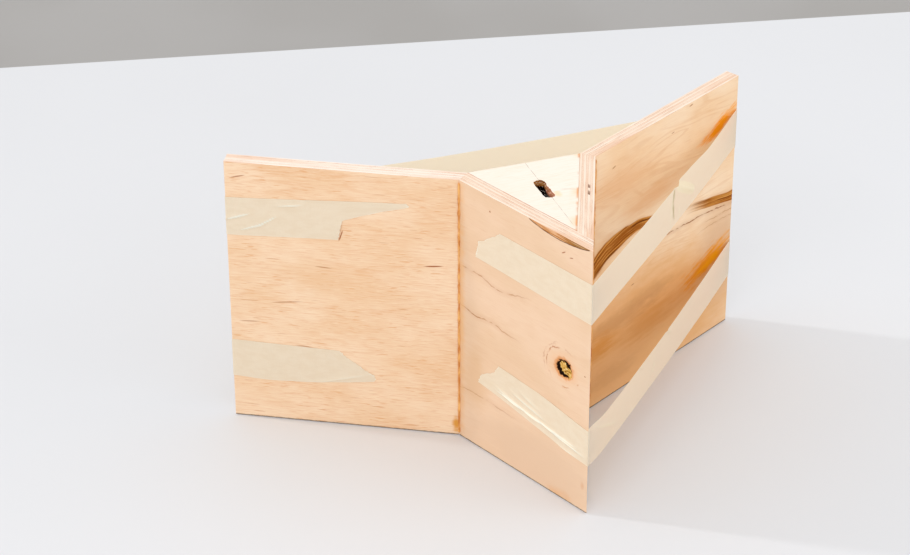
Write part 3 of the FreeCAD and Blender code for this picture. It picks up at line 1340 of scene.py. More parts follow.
# ---- Glue ---------------------------------------------------------------------------------------
class BeadTree(Tree):
    """The Geometry Nodes tree of a squeezed-out glue line: an uneven bead with drops on it."""

    inputs = {
        "Radius": "NodeSocketFloat",
        "Unevenness": "NodeSocketFloat",
        "Drop Spacing": "NodeSocketFloat",
        "Drop Size": "NodeSocketFloat",
        "Seed": "NodeSocketInt",
        "Finish": "NodeSocketMaterial",
    }
    step = 0.0015
    wave_scale = 90.0
    drop_sizes = (0.35, 1.0)
    drop_height = 1.9

    def __init__(self, name: str) -> None:
        """Makes the tree with its named inputs."""
        super().__init__(bpy.data.node_groups.new(name, "GeometryNodeTree"))
        add = self.tree.interface.new_socket
        add("Geometry", in_out="INPUT", socket_type="NodeSocketGeometry")
        self.sockets: dict[str, str] = {}
        for label, kind in self.inputs.items():
            self.sockets[label] = add(label, in_out="INPUT", socket_type=kind).identifier
        add("Geometry", in_out="OUTPUT", socket_type="NodeSocketGeometry")
        given = self.node("NodeGroupInput").socket.node
        self.source = {socket.name: Socket(self, socket) for socket in given.outputs if socket.name}
        parts = self.node("GeometryNodeJoinGeometry", None, {0: [self.bead(), self.drops()]})
        real = self.node("GeometryNodeRealizeInstances", None, {0: parts})
        smooth = self.node("GeometryNodeSetShadeSmooth", None, {0: real})
        dressed = {"Geometry": smooth, "Material": self.source["Finish"]}
        self.node("NodeGroupOutput", None, {0: self.node("GeometryNodeSetMaterial", None, dressed)}, None)

    def resample(self, length: Value) -> Socket:
        """The path with its points that far apart."""
        inputs = {"Curve": self.source["Geometry"], "Length": length}
        return self.node("GeometryNodeResampleCurve", {"mode": "LENGTH"}, inputs)

    def bead(self) -> Socket:
        """The bead, whose thickness wanders along the path.

        Returns:
            Its mesh.
        """
        even = self.resample(self.step)
        position = self.node("GeometryNodeInputPosition")
        noisy = {"Vector": position, "W": self.source["Seed"], "Scale": self.wave_scale, "Detail": 3.0}
        waves = self.node("ShaderNodeTexNoise", {"noise_dimensions": "4D"}, noisy)
        spread = {"Value": waves, "From Min": 0.3, "From Max": 0.7, "To Min": -1.0, "To Max": 1.0}
        wave = self.node("ShaderNodeMapRange", None, spread)
        thick = (wave * self.source["Unevenness"] + 1.0) * self.source["Radius"]
        section = self.node("GeometryNodeCurvePrimitiveCircle", None, {"Resolution": 8, "Radius": 1.0})
        swept = {"Curve": even, "Profile Curve": section, "Scale": thick, "Fill Caps": True}
        return self.node("GeometryNodeCurveToMesh", None, swept)

    def drops(self) -> Socket:
        """The drops, of several sizes, along the path.

        Returns:
            Their instances.
        """
        spaced = self.resample(self.source["Drop Spacing"])
        ball = self.node("GeometryNodeMeshIcoSphere", None, {"Radius": 1.0, "Subdivisions": 2})
        small, large = self.drop_sizes
        chosen = {2: small, 3: large, "Seed": self.source["Seed"]}
        size = self.node("FunctionNodeRandomValue", {"data_type": "FLOAT"}, chosen, 1)
        across = size * self.source["Drop Size"]
        tall = across * self.drop_height
        shape = self.node("ShaderNodeCombineXYZ", None, {0: across, 1: across, 2: tall})
        placed = {"Points": spaced, "Instance": ball, "Scale": shape}
        return self.node("GeometryNodeInstanceOnPoints", None, placed)


@dataclass
class GlueLine:
    """Glue squeezed out along a joint."""

    name: str
    node: str
    paths: tuple[tuple[Vector, Vector], ...]
    radius: float
    unevenness: float
    spacing: float
    drop: float
    seed: int

    def build(self, tree: BeadTree, finish: bpy.types.Material) -> bpy.types.Object:
        """Makes the glue and puts it in place of its CAD node.

        Args:
            tree: the Geometry Nodes tree.
            finish: its material.

        Returns:
            The glue.
        """
        curve = bpy.data.curves.new(f"{self.name}_path", "CURVE")
        curve.dimensions = "3D"
        for start, end in self.paths:
            spline = curve.splines.new("POLY")
            spline.points.add(1)
            spline.points[0].co = (*start, 1)
            spline.points[1].co = (*end, 1)
        holder = bpy.data.objects.new(f"{self.name}_path", curve)
        bpy.context.scene.collection.objects.link(holder)
        modifier = holder.modifiers.new("bead", "NODES")
        modifier.node_group = tree.tree
        values = {
            "Radius": self.radius, "Unevenness": self.unevenness, "Drop Spacing": self.spacing,
            "Drop Size": self.drop, "Seed": self.seed, "Finish": finish,
        }
        for label, value in values.items():
            modifier[tree.sockets[label]] = value
        bpy.context.view_layer.update()
        ready = holder.evaluated_get(bpy.context.evaluated_depsgraph_get())
        mesh = bpy.data.meshes.new_from_object(ready)
        mesh.name = self.name
        made = bpy.data.objects.new(self.name, mesh)
        bpy.context.scene.collection.objects.link(made)
        bpy.data.objects.remove(holder)
        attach(made, "root")
        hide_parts(self.node)
        LOG.info("%s: %d faces", made.name, len(mesh.polygons))
        return made


# ---- Tape ---------------------------------------------------------------------------------------
@dataclass(frozen=True)
class Fold:
    """A crease on one run of a tape: a ridge along a straight line, given in s and z."""

    start: tuple[float, float]
    end: tuple[float, float]
    rise: float
    half: float

    def at(self, along: float, height: float) -> float:
        """How far the tape stands out there.

        Args:
            along: s on the run.
            height: z.

        Returns:
            The distance.
        """
        dx, dy = self.end[0] - self.start[0], self.end[1] - self.start[1]
        length = math.hypot(dx, dy)
        px, py = along - self.start[0], height - self.start[1]
        share = (px * dx + py * dy) / length**2
        if not -0.15 < share < 1.15:
            return 0.0
        away = (px * dy - py * dx) / length
        fade = math.sin(math.pi * min(1.0, max(0.0, (share + 0.15) / 1.3))) ** 0.6
        return self.rise * fade * math.exp(-((away / self.half) ** 2))


@dataclass(frozen=True)
class Run:
    """One straight run of a tape: its edges' heights, how it leans, its folds and any torn end.

    Edge heights and leans are given as (s, value) pairs. A torn end is given as (share, s) pairs,
    where the share is 0 at the tape's bottom edge and 1 at its top.
    """

    origin: Vector
    way: Vector
    outward: Vector
    length: float
    low: Pairs
    high: Pairs
    lean: Pairs = ((0.0, 0.0), (1.0, 0.0))
    folds: tuple[Fold, ...] = ()
    torn: Pairs = ()
    backward: bool = False
    # How freely the run hangs: it sets how much light passes through the tape, and a painted paler colour.
    free: float = 0.0
    curl: tuple[float, float, float] = (0.0, 0.0, 0.0)
    puckers: float = 0.0001
    step: float = 0.003

    def places(self) -> list[float]:
        """Where its cross-sections stand, from 0 at its origin to its length."""
        count = max(2, round(self.length / self.step))
        return [self.length * number / count for number in range(count + 1)]


def between(points: Sequence[tuple[float, float]], place: float) -> float:
    """Reads a smooth function given by points.

    Args:
        points: (place, value) pairs in order.
        place: where it is read.

    Returns:
        The value.
    """
    if place <= points[0][0]:
        return points[0][1]
    for (x0, y0), (x1, y1) in zip(points, points[1:]):
        if place <= x1:
            share = (place - x0) / (x1 - x0)
            soft = share * share * (3 - 2 * share)
            return y0 + (y1 - y0) * (share * 0.6 + soft * 0.4)
    return points[-1][1]


@dataclass
class TapeBand:
    """One band of masking tape, stuck to the left wing, taken round the back and stuck to the left arm."""

    name: str
    node: str
    body: str
    runs: tuple[Run, ...]
    width: float = 0.05
    thick: float = 0.0002
    clearance: float = 0.0001
    across: int = 32
    torn_steps: int = 24
    corner_angle: float = 20.0
    tear_coarse: float = 0.0016
    tear_fine: float = 0.0009
    seed: float = 0.0

    def section(
        self, run: Run, along: float, share: float, outward: Vector, corner: bool
    ) -> tuple[Vector, Vector, float]:
        """One point of the tape's middle surface.

        Args:
            run: the run.
            along: s on the run, or its length and a share of the torn part past it.
            share: 0 at the tape's bottom edge, 1 at its top.
            outward: which way the tape faces there.
            corner: whether it is being bent round a corner.

        Returns:
            The point, the way it faces, and how high the fold stands there in millimetres, plus a painted
            highlight near a torn end.
        """
        place = along
        past = max(0.0, along - run.length) if run.torn else 0.0
        if past:
            reach = between(run.torn, share)
            reach += noise.noise(Vector((share * 23, self.seed, run.length * 90))) * self.tear_coarse
            reach += noise.noise(Vector((share * 71, self.seed, 4))) * self.tear_fine
            place = run.length + (reach - run.length) * past
        low, high = between(run.low, place), between(run.high, place)
        lean = math.radians(between(run.lean, place))
        tall = (high - low) * share
        height = low + tall * math.cos(lean)
        crest = sum(fold.at(place, height) for fold in run.folds)
        out = tall * math.sin(lean) + crest
        if not corner:
            pucker = noise.noise(Vector((place * 55, height * 40, self.seed)))
            fine = noise.noise(Vector((place * 260, height * 60, self.seed + 3)))
            out += run.puckers * (1 + pucker + fine * 0.35)
            rise, lowest, highest = run.curl
            if past and lowest < share < highest:
                bulge = math.sin(math.pi * (share - lowest) / (highest - lowest))
                out += rise * max(0.0, past * 6 - 5) ** 1.5 * bulge
        flat = run.origin + run.way * place + outward * (self.clearance + out)
        # A painted highlight along the torn end's fringe, carried with the fold heights.
        torn_glint = 0.0
        if past:
            ragged = 0.5 + noise.noise(Vector((share * 60, self.seed, 9)))
            torn_glint = max(0.0, past - 0.94) * 26 * ragged
        return Vector((flat.x, flat.y, height)), outward, crest * 1000 + torn_glint

    def stations(self) -> list[tuple[Run, float, Vector, bool]]:
        """Every cross-section in order, as (run, s, outward, corner)."""
        found: list[tuple[Run, float, Vector, bool]] = []
        for run, after in zip(self.runs, [*self.runs[1:], None]):
            places = run.places()
            if run.torn:
                steps = range(1, self.torn_steps + 1)
                places = places + [run.length + step / self.torn_steps for step in steps]
            if run.backward:
                places = places[::-1]
            found += [(run, place, run.outward, False) for place in places]
            if after is not None:
                turn = math.degrees(run.outward.angle(after.outward))
                steps = max(2, round(turn / self.corner_angle))
                last = 0.0 if run.backward else run.length
                for step in range(1, steps):
                    outward = run.outward.slerp(after.outward, step / steps)
                    found.append((run, last, outward, True))
        return found

    def build(
        self, finish: bpy.types.Material, rests_on: Sequence[str], flat_length: float
    ) -> bpy.types.Object:
        """Makes the band as a thin closed mesh, in place of its CAD node.

        Args:
            finish: the tape's material.
            rests_on: pieces that it is stuck to; not used.
            flat_length: its length before it was put on; not used.

        Returns:
            The band.
        """
        shell = Shell(self.name)
        stations = self.stations()
        shares = [number / self.across for number in range(self.across + 1)]
        travelled = [0.0] * len(shares)
        before: list[Vector] = []
        for run, along, outward, corner in stations:
            here = [self.section(run, along, share, outward, corner) for share in shares]
            if before:
                for number, (point, _, _) in enumerate(here):
                    travelled[number] += (point - before[number]).length
            before = [point for point, _, _ in here]
            middle = travelled[len(shares) // 2]
            for side in (0, 1):
                for number, (point, facing, crest) in enumerate(here):
                    # The third part is the run's free value, which also paints free runs paler.
                    mark = Vector((middle, (shares[number] - 0.5) * self.width, run.free))
                    fold = Vector((crest, 0, 0))
                    shell.add_point(point + facing * self.thick * side, **{FLAT: mark, CREST: fold})
        row = len(shares)
        for station in range(len(stations) - 1):
            base = station * 2 * row
            after = base + 2 * row
            for number in range(row - 1):
                for side in (0, row):
                    here, there = base + side + number, after + side + number
                    shell.add_face([here, here + 1, there + 1, there])
            for number in (0, row - 1):
                here, there = base + number, after + number
                shell.add_face([here, there, there + row, here + row])
        for base in (0, (len(stations) - 1) * 2 * row):
            for here in range(base, base + row - 1):
                shell.add_face([here, here + 1, here + row + 1, here + row])
        band = shell.make([finish], 60)
        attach(band, self.body)
        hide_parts(self.node)
        LOG.info("%s: %d faces, %.3f m long", band.name, len(band.data.polygons), middle)
        return band


# ---- The stage ----------------------------------------------------------------------------------
@dataclass
class Stage:
    """The pale table, the plain wall past it, the soft lights and the camera."""

    floor: FloorFinish
    wall: FloorFinish
    edge: tuple[Vector, Vector] = (Vector((-0.3947, 1.1471, 0)), Vector((0.9377, 0.8715, 0)))
    reach: float = 9.0
    wall_drop: float = 0.9
    surroundings: float = 0.9
    sun_power: float = 0.55
    sun_heading: float = -57.0
    sun_height: float = 30.0
    camera_place: tuple[float, float, float] = (-0.99834, -2.57158, 1.86277)
    camera_heading: float = 19.35
    camera_down: float = 30.90
    camera_roll: float = -0.133
    camera_lens: float = 112.555
    camera_sensor: float = 36.0

    def sheet(self, name: str, corners: Sequence[Vector], finish: bpy.types.Material) -> bpy.types.Object:
        """Makes one flat staged surface.

        Args:
            name: its name.
            corners: its corners, counter-clockwise from above.
            finish: its material.

        Returns:
            The surface.
        """
        mesh = bpy.data.meshes.new(name)
        mesh.from_pydata([tuple(corner) for corner in corners], [], [tuple(range(len(corners)))])
        mesh.materials.append(finish)
        made = bpy.data.objects.new(name, mesh)
        bpy.context.scene.collection.objects.link(made)
        return made

    def build(self) -> None:
        """Makes the surfaces, the lights and the camera."""
        way = (self.edge[1] - self.edge[0]).normalized()
        toward = Vector((way.y, -way.x, 0))
        left, right = self.edge[0] - way * self.reach, self.edge[1] + way * self.reach
        near = toward * self.reach * 1.5
        self.sheet("table", [left + near, right + near, right, left], self.floor.build())
        drop = UP * -self.wall_drop
        away = -toward * self.reach
        lower = [left + near + drop, right + near + drop, right + away + drop, left + away + drop]
        self.sheet("wall", lower, self.wall.build())
        self.lights()
        self.camera()

    def lights(self) -> None:
        """The white surroundings, the soft front light and the low light from behind on the left."""
        world = bpy.data.worlds.new("surroundings")
        world.use_nodes = True
        background = world.node_tree.nodes["Background"]
        background.inputs["Color"].default_value = (1.0, 1.0, 1.0, 1)
        background.inputs["Strength"].default_value = self.surroundings
        bpy.context.scene.world = world
        bpy.context.scene.view_settings.view_transform = "Standard"
        self.area("front_light", Vector((-2.2, -2.6, 3.2)), 3.0, 40.0)
        self.area("right_light", Vector((2.6, -1.6, 2.0)), 2.5, 15.0)
        sun = bpy.data.lights.new("low_light", "SUN")
        sun.energy = self.sun_power
        sun.angle = math.radians(3)
        lamp = bpy.data.objects.new("low_light", sun)
        azimuth, elevation = math.radians(self.sun_heading), math.radians(self.sun_height)
        source = Vector((math.sin(azimuth), math.cos(azimuth), math.tan(elevation)))
        lamp.rotation_mode = "QUATERNION"
        lamp.rotation_quaternion = source.to_track_quat("Z", "Y")
        bpy.context.scene.collection.objects.link(lamp)

    def area(self, name: str, place: Vector, size: float, power: float) -> None:
        """Adds a soft light that faces the stand.

        Args:
            name: its name.
            place: where it is.
            size: its side.
            power: its power in watts.
        """
        light = bpy.data.lights.new(name, "AREA")
        light.shape = "DISK"
        light.size = size
        light.energy = power
        lamp = bpy.data.objects.new(name, light)
        lamp.location = place
        lamp.rotation_mode = "QUATERNION"
        lamp.rotation_quaternion = (place - Vector((0, 0, 0.15))).to_track_quat("Z", "Y")
        bpy.context.scene.collection.objects.link(lamp)

    def camera(self) -> None:
        """The camera, high in front of the left wing."""
        data = bpy.data.cameras.new("camera")
        data.sensor_width = self.camera_sensor
        data.lens = self.camera_lens
        heading, down = math.radians(self.camera_heading), math.radians(self.camera_down)
        level = Vector((math.sin(heading), math.cos(heading), 0)) * math.cos(down)
        looking = level - UP * math.sin(down)
        lens = bpy.data.objects.new("camera", data)
        lens.location = self.camera_place
        lens.rotation_mode = "QUATERNION"
        roll = Quaternion((0, 0, 1), math.radians(self.camera_roll))
        lens.rotation_quaternion = looking.to_track_quat("-Z", "Y") @ roll
        bpy.context.scene.collection.objects.link(lens)
        bpy.context.scene.camera = lens


# ---- The whole ----------------------------------------------------------------------------------
@dataclass
class Plan:
    """The stand's own corners, read from the CAD nodes, and where its knot is on the left arm."""

    nodes: dict[str, bpy.types.Object]
    knot: tuple[float, float] = (0.041, 0.174)
    knot_radii: tuple[float, float] = (0.0125, 0.0115)

    def __post_init__(self) -> None:
        """Finds the corners."""
        self.tip = self.extreme("left_arm_face_ply", lambda point: -point.y)
        self.left_seam = self.extreme("left_arm_face_ply", lambda point: -point.x)
        self.right_seam = self.extreme("right_arm_face_ply", lambda point: point.x)
        self.left_end = self.extreme("left_wing_face_ply", lambda point: -point.x)
        self.right_end = self.extreme("right_wing_face_ply", lambda point: point.x)
        self.left_back = self.extreme("left_wing_back_ply", lambda point: point.y)
        self.right_back = self.extreme("right_wing_back_ply", lambda point: point.y)
        self.left_inner = self.extreme("left_arm_back_ply", lambda point: point.y)
        self.right_inner = self.extreme("right_arm_back_ply", lambda point: point.y)
        self.tip_inner = self.extreme("cap_face_ply", lambda point: -point.y)
        self.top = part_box("left_arm_face_ply")[1].z

    def extreme(self, node: str, value: Callable[[Vector], float]) -> Vector:
        """The corner of a node where a value is largest, brought down to the ground."""
        point = max(corners_of(self.nodes[node]), key=value)
        return Vector((point.x, point.y, 0))


def straight(start: Vector, end: Vector) -> tuple[Vector, Vector, float]:
    """The direction, the outward side and the length of a run that goes clockwise round the stand."""
    way = (end - start).normalized()
    return way, outward_of(way), (end - start).length


def right_wing_marks() -> tuple[Mark, ...]:
    """The right wing's stains, painted shade and painted warm light from the tape, mineral streaks and
    pins, each over the ones before it.

    Returns:
        The marks.
    """
    board = 0.27
    left_streak = (
        (0.0, 0.190), (0.009, 0.198), (0.023, 0.204), (0.042, 0.209), (0.062, 0.213), (0.085, 0.2135),
        (0.109, 0.212), (0.150, 0.205), (0.2, 0.198), (board, 0.192),
    )
    right_streak = (
        (0.0, 0.200), (0.1, 0.199), (0.160, 0.196), (0.191, 0.193), (0.212, 0.189), (0.242, 0.184),
        (board, 0.179),
    )
    upper_line = (
        (0.0, 0.18), (0.142, 0.178), (0.164, 0.177), (0.192, 0.178), (0.226, 0.175), (board, 0.168),
    )
    middle_line = ((0.0, 0.16), (0.19, 0.160), (0.226, 0.164), (0.248, 0.161), (board, 0.160))
    lower_line = ((0.0, 0.15), (0.19, 0.150), (0.226, 0.156), (0.248, 0.153), (board, 0.152))
    brown, tan = paint(150, 80, 26), paint(176, 112, 62)
    return (
        # Partly the wood's own tone, partly painted shade: the lower half darker and oranger.
        StainOrPaintedLight((0.10, 0.06), (0.26, 0.12), paint(229, 172, 112), 0.85, 11.0, core=0.45, rough=0.3),
        StainOrPaintedLight((0.25, 0.11), (0.06, 0.09), paint(222, 182, 146), 0.8, 13.0, rough=0.3),
        StainOrPaintedLight((0.11, 0.075), (0.07, 0.03), paint(212, 144, 68), 0.5, 15.0, 4, 0.1, 0.8, 0.5),
        StainOrPaintedLight((0.05, 0.285), (0.08, 0.03), paint(233, 184, 140), 0.5, 17.0, 2, 0.1, 0.6, 0.4),
        StainOrPaintedLight((0.11, 0.245), (0.07, 0.02), paint(236, 180, 128), 0.55, 19.0, 6, 0.1, 0.6, 0.4),
        Streak(left_streak, half=0.0165, strength=1.0, fade=(-0.02, -0.01, 0.13, 0.19), taper=0.3),
        Streak(right_streak, half=0.0070, lines=380.0, fade=(0.17, 0.25, 0.29, 0.3), seed=4.0, taper=1.4),
        GrowthLine(upper_line, length=board, strength=0.66, fade=(0.12, 0.15), dark=brown),
        GrowthLine(middle_line, board, half=0.0007, fade=(0.2, 0.24), seed=3.0, dark=tan),
        GrowthLine(lower_line, board, half=0.0006, strength=0.4, fade=(0.19, 0.23), seed=5.0, dark=tan),
        # Painted shade: darker bands across the lower half, where the tape casts shadow.
        StainOrPaintedLight((0.050, 0.100), (0.090, 0.016), paint(196, 142, 92), 0.45, 2.0),
        StainOrPaintedLight((0.110, 0.112), (0.060, 0.012), paint(196, 142, 92), 0.4, 6.0),
        StainOrPaintedLight((0.040, 0.030), (0.060, 0.018), paint(204, 150, 100), 0.35, 8.0),
        # Painted light: saturated orange glow where light through the tape falls on the wood near the
        # wing's end.
        StainOrPaintedLight((0.236, 0.287), (0.044, 0.011), paint(248, 158, 26), 1.0, 1.0, 23, 0.3, 0.8),
        StainOrPaintedLight((0.222, 0.105), (0.060, 0.018), paint(232, 150, 44), 1.0, 3.0, 20, 0.2, 0.8),
        StainOrPaintedLight((0.228, 0.102), (0.034, 0.008), paint(244, 168, 26), 1.0, 4.0, 20, 0.2, 0.8),
        StainOrPaintedLight((0.015, 0.078), (0.045, 0.022), paint(216, 148, 72), 0.8, 21.0, 0, 0.1, 0.6, 0.6),
        Pin((0.034, 0.312), slope=0.3),
        Pin((0.176, 0.336), slope=0.2),
        Pin((0.143, 0.313), (0.003, 0.0006)),
        Pin((0.076, 0.138), (0.003, 0.0006)),
    )


def left_arm_marks(plan: Plan) -> tuple[Mark, ...]:
    """The left arm's growth lines, knot, bark edge, stains, painted shade low down and pins.

    Args:
        plan: the stand's corners, and the knot's place.

    Returns:
        The marks.
    """
    upper_line = (
        (0.0, 0.24), (0.104, 0.237), (0.133, 0.228), (0.159, 0.224), (0.174, 0.234), (0.199, 0.233),
    )
    middle_line = (
        (0.0, 0.170), (0.088, 0.171), (0.110, 0.174), (0.140, 0.175), (0.155, 0.180), (0.174, 0.177),
        (0.191, 0.177), (0.210, 0.182),
    )
    lower_line = ((0.0, 0.068), (0.094, 0.0685), (0.131, 0.070), (0.181, 0.073), (0.208, 0.068))
    return (
        GrowthLine(middle_line),
        GrowthLine(upper_line, seed=3.0, strength=0.42, fade=(0.09, 0.13)),
        GrowthLine(lower_line, seed=6.0, strength=0.4),
        StainOrPaintedLight(plan.knot, (0.035, 0.022), paint(236, 188, 146), 0.4, 5.0),
        Knot(plan.knot, plan.knot_radii),
        BarkEdge(0.004, 0.101, 0.0072, plan.top),
        StainOrPaintedLight((0.045, 0.006), (0.022, 0.007), paint(232, 158, 66), 0.85, 2.0),
        StainOrPaintedLight((0.036, 0.010), (0.008, 0.006), paint(226, 150, 60), 0.8, 7.0),
        StainOrPaintedLight((0.008, 0.034), (0.0035, 0.007), paint(206, 128, 52), 0.95, 4.0),
        StainOrPaintedLight((0.209, 0.17), (0.008, 0.26), paint(236, 184, 128), 0.7, 6.0, core=0.0),
        StainOrPaintedLight((0.186, 0.09), (0.028, 0.05), paint(228, 186, 142), 0.5, 8.0),
        # Painted shade: the arm darker low down towards the tip.
        StainOrPaintedLight((0.08, 0.03), (0.12, 0.045), paint(229, 196, 166), 0.9, 9.0, core=0.4, rough=0.5),
        Pin((0.162, 0.321), (0.0012, 0.0012), strength=0.9),
        Pin((0.045, 0.320), (0.003, 0.001), slope=-0.6),
        Pin((0.033, 0.318), (0.003, 0.0008), slope=-0.3),
        Pin((0.008, 0.179), (0.0012, 0.0009)),
    )


def left_wing_marks() -> tuple[Mark, ...]:
    """The left wing's pins, the glue stain along its seam and a painted shadow line beside the upper tape's
    curled torn end.

    Returns:
        The marks.
    """
    return (
        Pin((0.015, 0.322), (0.009, 0.0009), slope=0.26, strength=0.7),
        Pin((0.111, 0.2125), (0.010, 0.0009), slope=-0.05, strength=0.85),
        Pin((0.238, 0.226), (0.011, 0.0010), slope=0.1, strength=0.9),
        Pin((0.067, 0.162), (0.018, 0.0008), strength=0.6),
        Pin((0.022, 0.132), (0.012, 0.0009), slope=0.05, strength=0.5),
        Pin((0.085, 0.104), (0.010, 0.0008), slope=-0.05, strength=0.5),
        StainOrPaintedLight((0.2685, 0.17), (0.0035, 0.24), paint(226, 148, 72), 0.75, 3.0, core=0.1),
        StainOrPaintedLight((0.264, 0.016), (0.006, 0.012), paint(222, 152, 48), 0.9, 5.0),
        StainOrPaintedLight((0.10, 0.20), (0.05, 0.03), paint(236, 192, 148), 0.45, 9.0),
        # Painted shadow: a thin dark line beside the curled torn end of the upper tape.
        StainOrPaintedLight((0.1322, 0.2562), (0.0010, 0.0085), paint(160, 80, 34), 0.95, 1.0, -19),
    )


def veneers(plan: Plan) -> dict[str, VeneerFinish]:
    """The finishes of the boards' faces, each with its own figure.

    Args:
        plan: the stand's corners.

    Returns:
        The finishes by name.
    """
    return {
        "left_wing": VeneerFinish(
            "left_wing_veneer", paint(251, 222, 190), paint(242, 203, 163), dash=paint(222, 150, 86),
            dashes=0.46, waves=0.16, fibres=0.28, cloud=0.85, marks=left_wing_marks(),
        ),
        "left_arm": VeneerFinish(
            "left_arm_veneer", paint(240, 208, 178), paint(230, 195, 159), dashes=0.1, waves=0.06,
            fibres=0.08, seed=3.0, marks=left_arm_marks(plan),
        ),
        "right_arm": VeneerFinish(
            "right_arm_veneer", paint(244, 212, 178), paint(232, 192, 152), dashes=0.16, waves=0.1, seed=5.0
        ),
        "right_wing": VeneerFinish(
            "right_wing_veneer", paint(252, 225, 193), paint(244, 205, 162), dash=paint(214, 152, 92),
            dashes=0.1, waves=0.2, fibres=0.1, cloud=0.8, slope=0.06, seed=7.0, marks=right_wing_marks(),
        ),
        "inside": VeneerFinish(
            "inside_veneer", paint(246, 218, 184), paint(236, 200, 160), dashes=0.3, waves=0.14, seed=11.0
        ),
    }


def edge_finishes(
    name: str,
    long_grain: tuple[Colour, Colour],
    end_grain: tuple[Colour, Colour],
    seed: float,
    burnt: float,
) -> list[bpy.types.Material]:
    """The two edge finishes of one sheet of board.

    Args:
        name: the sheet's name.
        long_grain: pale and deep colours of plies that run with the board.
        end_grain: pale and deep colours of plies that run across it.
        seed: the seed of its noise.
        burnt: how much of the edge the saw browned.

    Returns:
        The finishes of plies along and across.
    """
    along = EdgeFinish(f"{name}_long_grain_edge", GrainRun.ALONG, *long_grain, 0.3, seed, burnt)
    across = EdgeFinish(f"{name}_end_grain_edge", GrainRun.ACROSS, *end_grain, 0.6, seed + 4, burnt)
    return [along.build(), across.build()]


def boards(plan: Plan) -> tuple[Board, ...]:
    """The four panels.

    Args:
        plan: the stand's corners.

    Returns:
        The panels, from left to right.
    """
    nodes, finishes = plan.nodes, veneers(plan)
    inside = finishes["inside"]
    knot_s, knot_z = plan.knot
    return (
        Board("left_wing", nodes, plan.left_end, plan.left_seam, finishes["left_wing"], inside),
        Board(
            "left_arm", nodes, plan.tip, plan.left_seam, finishes["left_arm"], inside,
            fine_along=((knot_s - 0.019, knot_s + 0.019, 0.001), (0.004, knot_s - 0.019, 0.003)),
            fine_up=((knot_z - 0.018, knot_z + 0.018, 0.001), (plan.top - 0.01, plan.top, 0.0012)),
            dents=(Dent(plan.knot, plan.knot_radii, 0.0014, 0.0004),), seed=3.0,
        ),
        Board(
            "right_arm", nodes, plan.tip, plan.right_seam, finishes["right_arm"], inside,
            chips=(Chip(2, 0.1152, 0.0034, 0.005), Chip(2, 0.0998, 0.0042, 0.006)), seed=5.0,
        ),
        Board(
            "right_wing", nodes, plan.right_seam, plan.right_end, finishes["right_wing"], inside, seed=7.0
        ),
    )


def glue_lines(plan: Plan) -> tuple[GlueLine, ...]:
    """The glue at every joint.

    Args:
        plan: the stand's corners.

    Returns:
        The glue lines.
    """
    short = 0.0055
    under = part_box("left_cap_glue")[0].z + 0.0022

    def upright(corner: Vector) -> tuple[tuple[Vector, Vector], ...]:
        """A path up a corner, a little short of the floor and the top."""
        return ((corner + UP * short, corner + UP * (plan.top - short)),)

    def sloping(inner: Vector) -> tuple[tuple[Vector, Vector], ...]:
        """A path under the cap, along one arm."""
        way = (inner - plan.tip_inner).normalized()
        return ((plan.tip_inner + way * 0.014 + UP * under, inner - way * 0.012 + UP * under),)

    left, right = upright(plan.left_seam), upright(plan.right_seam)
    tip = upright(plan.tip_inner + Vector((0, 0.001, 0)))
    under_cap = (0.0012, 0.5, 0.02, 0.0018)
    return (
        GlueLine("left_seam_bead", "left_seam_glue", left, 0.0015, 0.45, 0.021, 0.0019, 1),
        GlueLine("right_seam_bead", "right_seam_glue", right, 0.0013, 0.5, 0.024, 0.0018, 2),
        GlueLine("tip_bead", "tip_glue", tip, 0.0017, 0.45, 0.05, 0.003, 3),
        GlueLine("left_cap_bead", "left_cap_glue", sloping(plan.left_inner), *under_cap, 4),
        GlueLine("right_cap_bead", "right_cap_glue", sloping(plan.right_inner), *under_cap, 5),
    )


@dataclass
class Route:
    """The way round the stand that both bands take."""

    plan: Plan

    def __post_init__(self) -> None:
        """Measures its six stretches."""
        plan = self.plan
        corners = (
            plan.left_seam, plan.left_end, plan.left_back, plan.right_back, plan.right_end, plan.tip,
            plan.left_seam,
        )
        self.stretches = [straight(start, end) for start, end in zip(corners, corners[1:])]
        self.lengths = [length for _, _, length in self.stretches]

    def runs(
        self,
        wing: dict,
        left_edge: tuple[Pairs, Pairs],
        back: dict,
        right_edge: tuple[Pairs, Pairs],
        front: dict,
        arm: dict,
    ) -> tuple[Run, ...]:
        """The six runs of one band, in order.

        Args:
            wing: sizes of the part stuck to the left wing.
            left_edge: low and high edges round the left end.
            back: sizes of the free run across the back.
            right_edge: low and high edges round the right end.
            front: sizes of the free run along the right, from the tip.
            arm: sizes of the part stuck to the left arm.

        Returns:
            The runs.
        """
        plan = self.plan
        wing_way, wing_out, _ = self.stretches[0]
        left, behind, right = self.stretches[1:4]
        front_way, front_out, front_long = self.stretches[4]
        arm_way, arm_out, _ = self.stretches[5]
        return (
            Run(plan.left_end, -wing_way, wing_out, backward=True, **wing),
            Run(plan.left_end, *left, *left_edge),
            # The back run's free value above 1 paints it paler still, as painted light from behind.
            Run(plan.left_back, *behind, free=1.55, **back),
            Run(plan.right_back, *right, *right_edge),
            Run(plan.tip, -front_way, front_out, front_long, backward=True, free=1.0, **front),
            Run(plan.tip, arm_way, arm_out, **arm),
        )


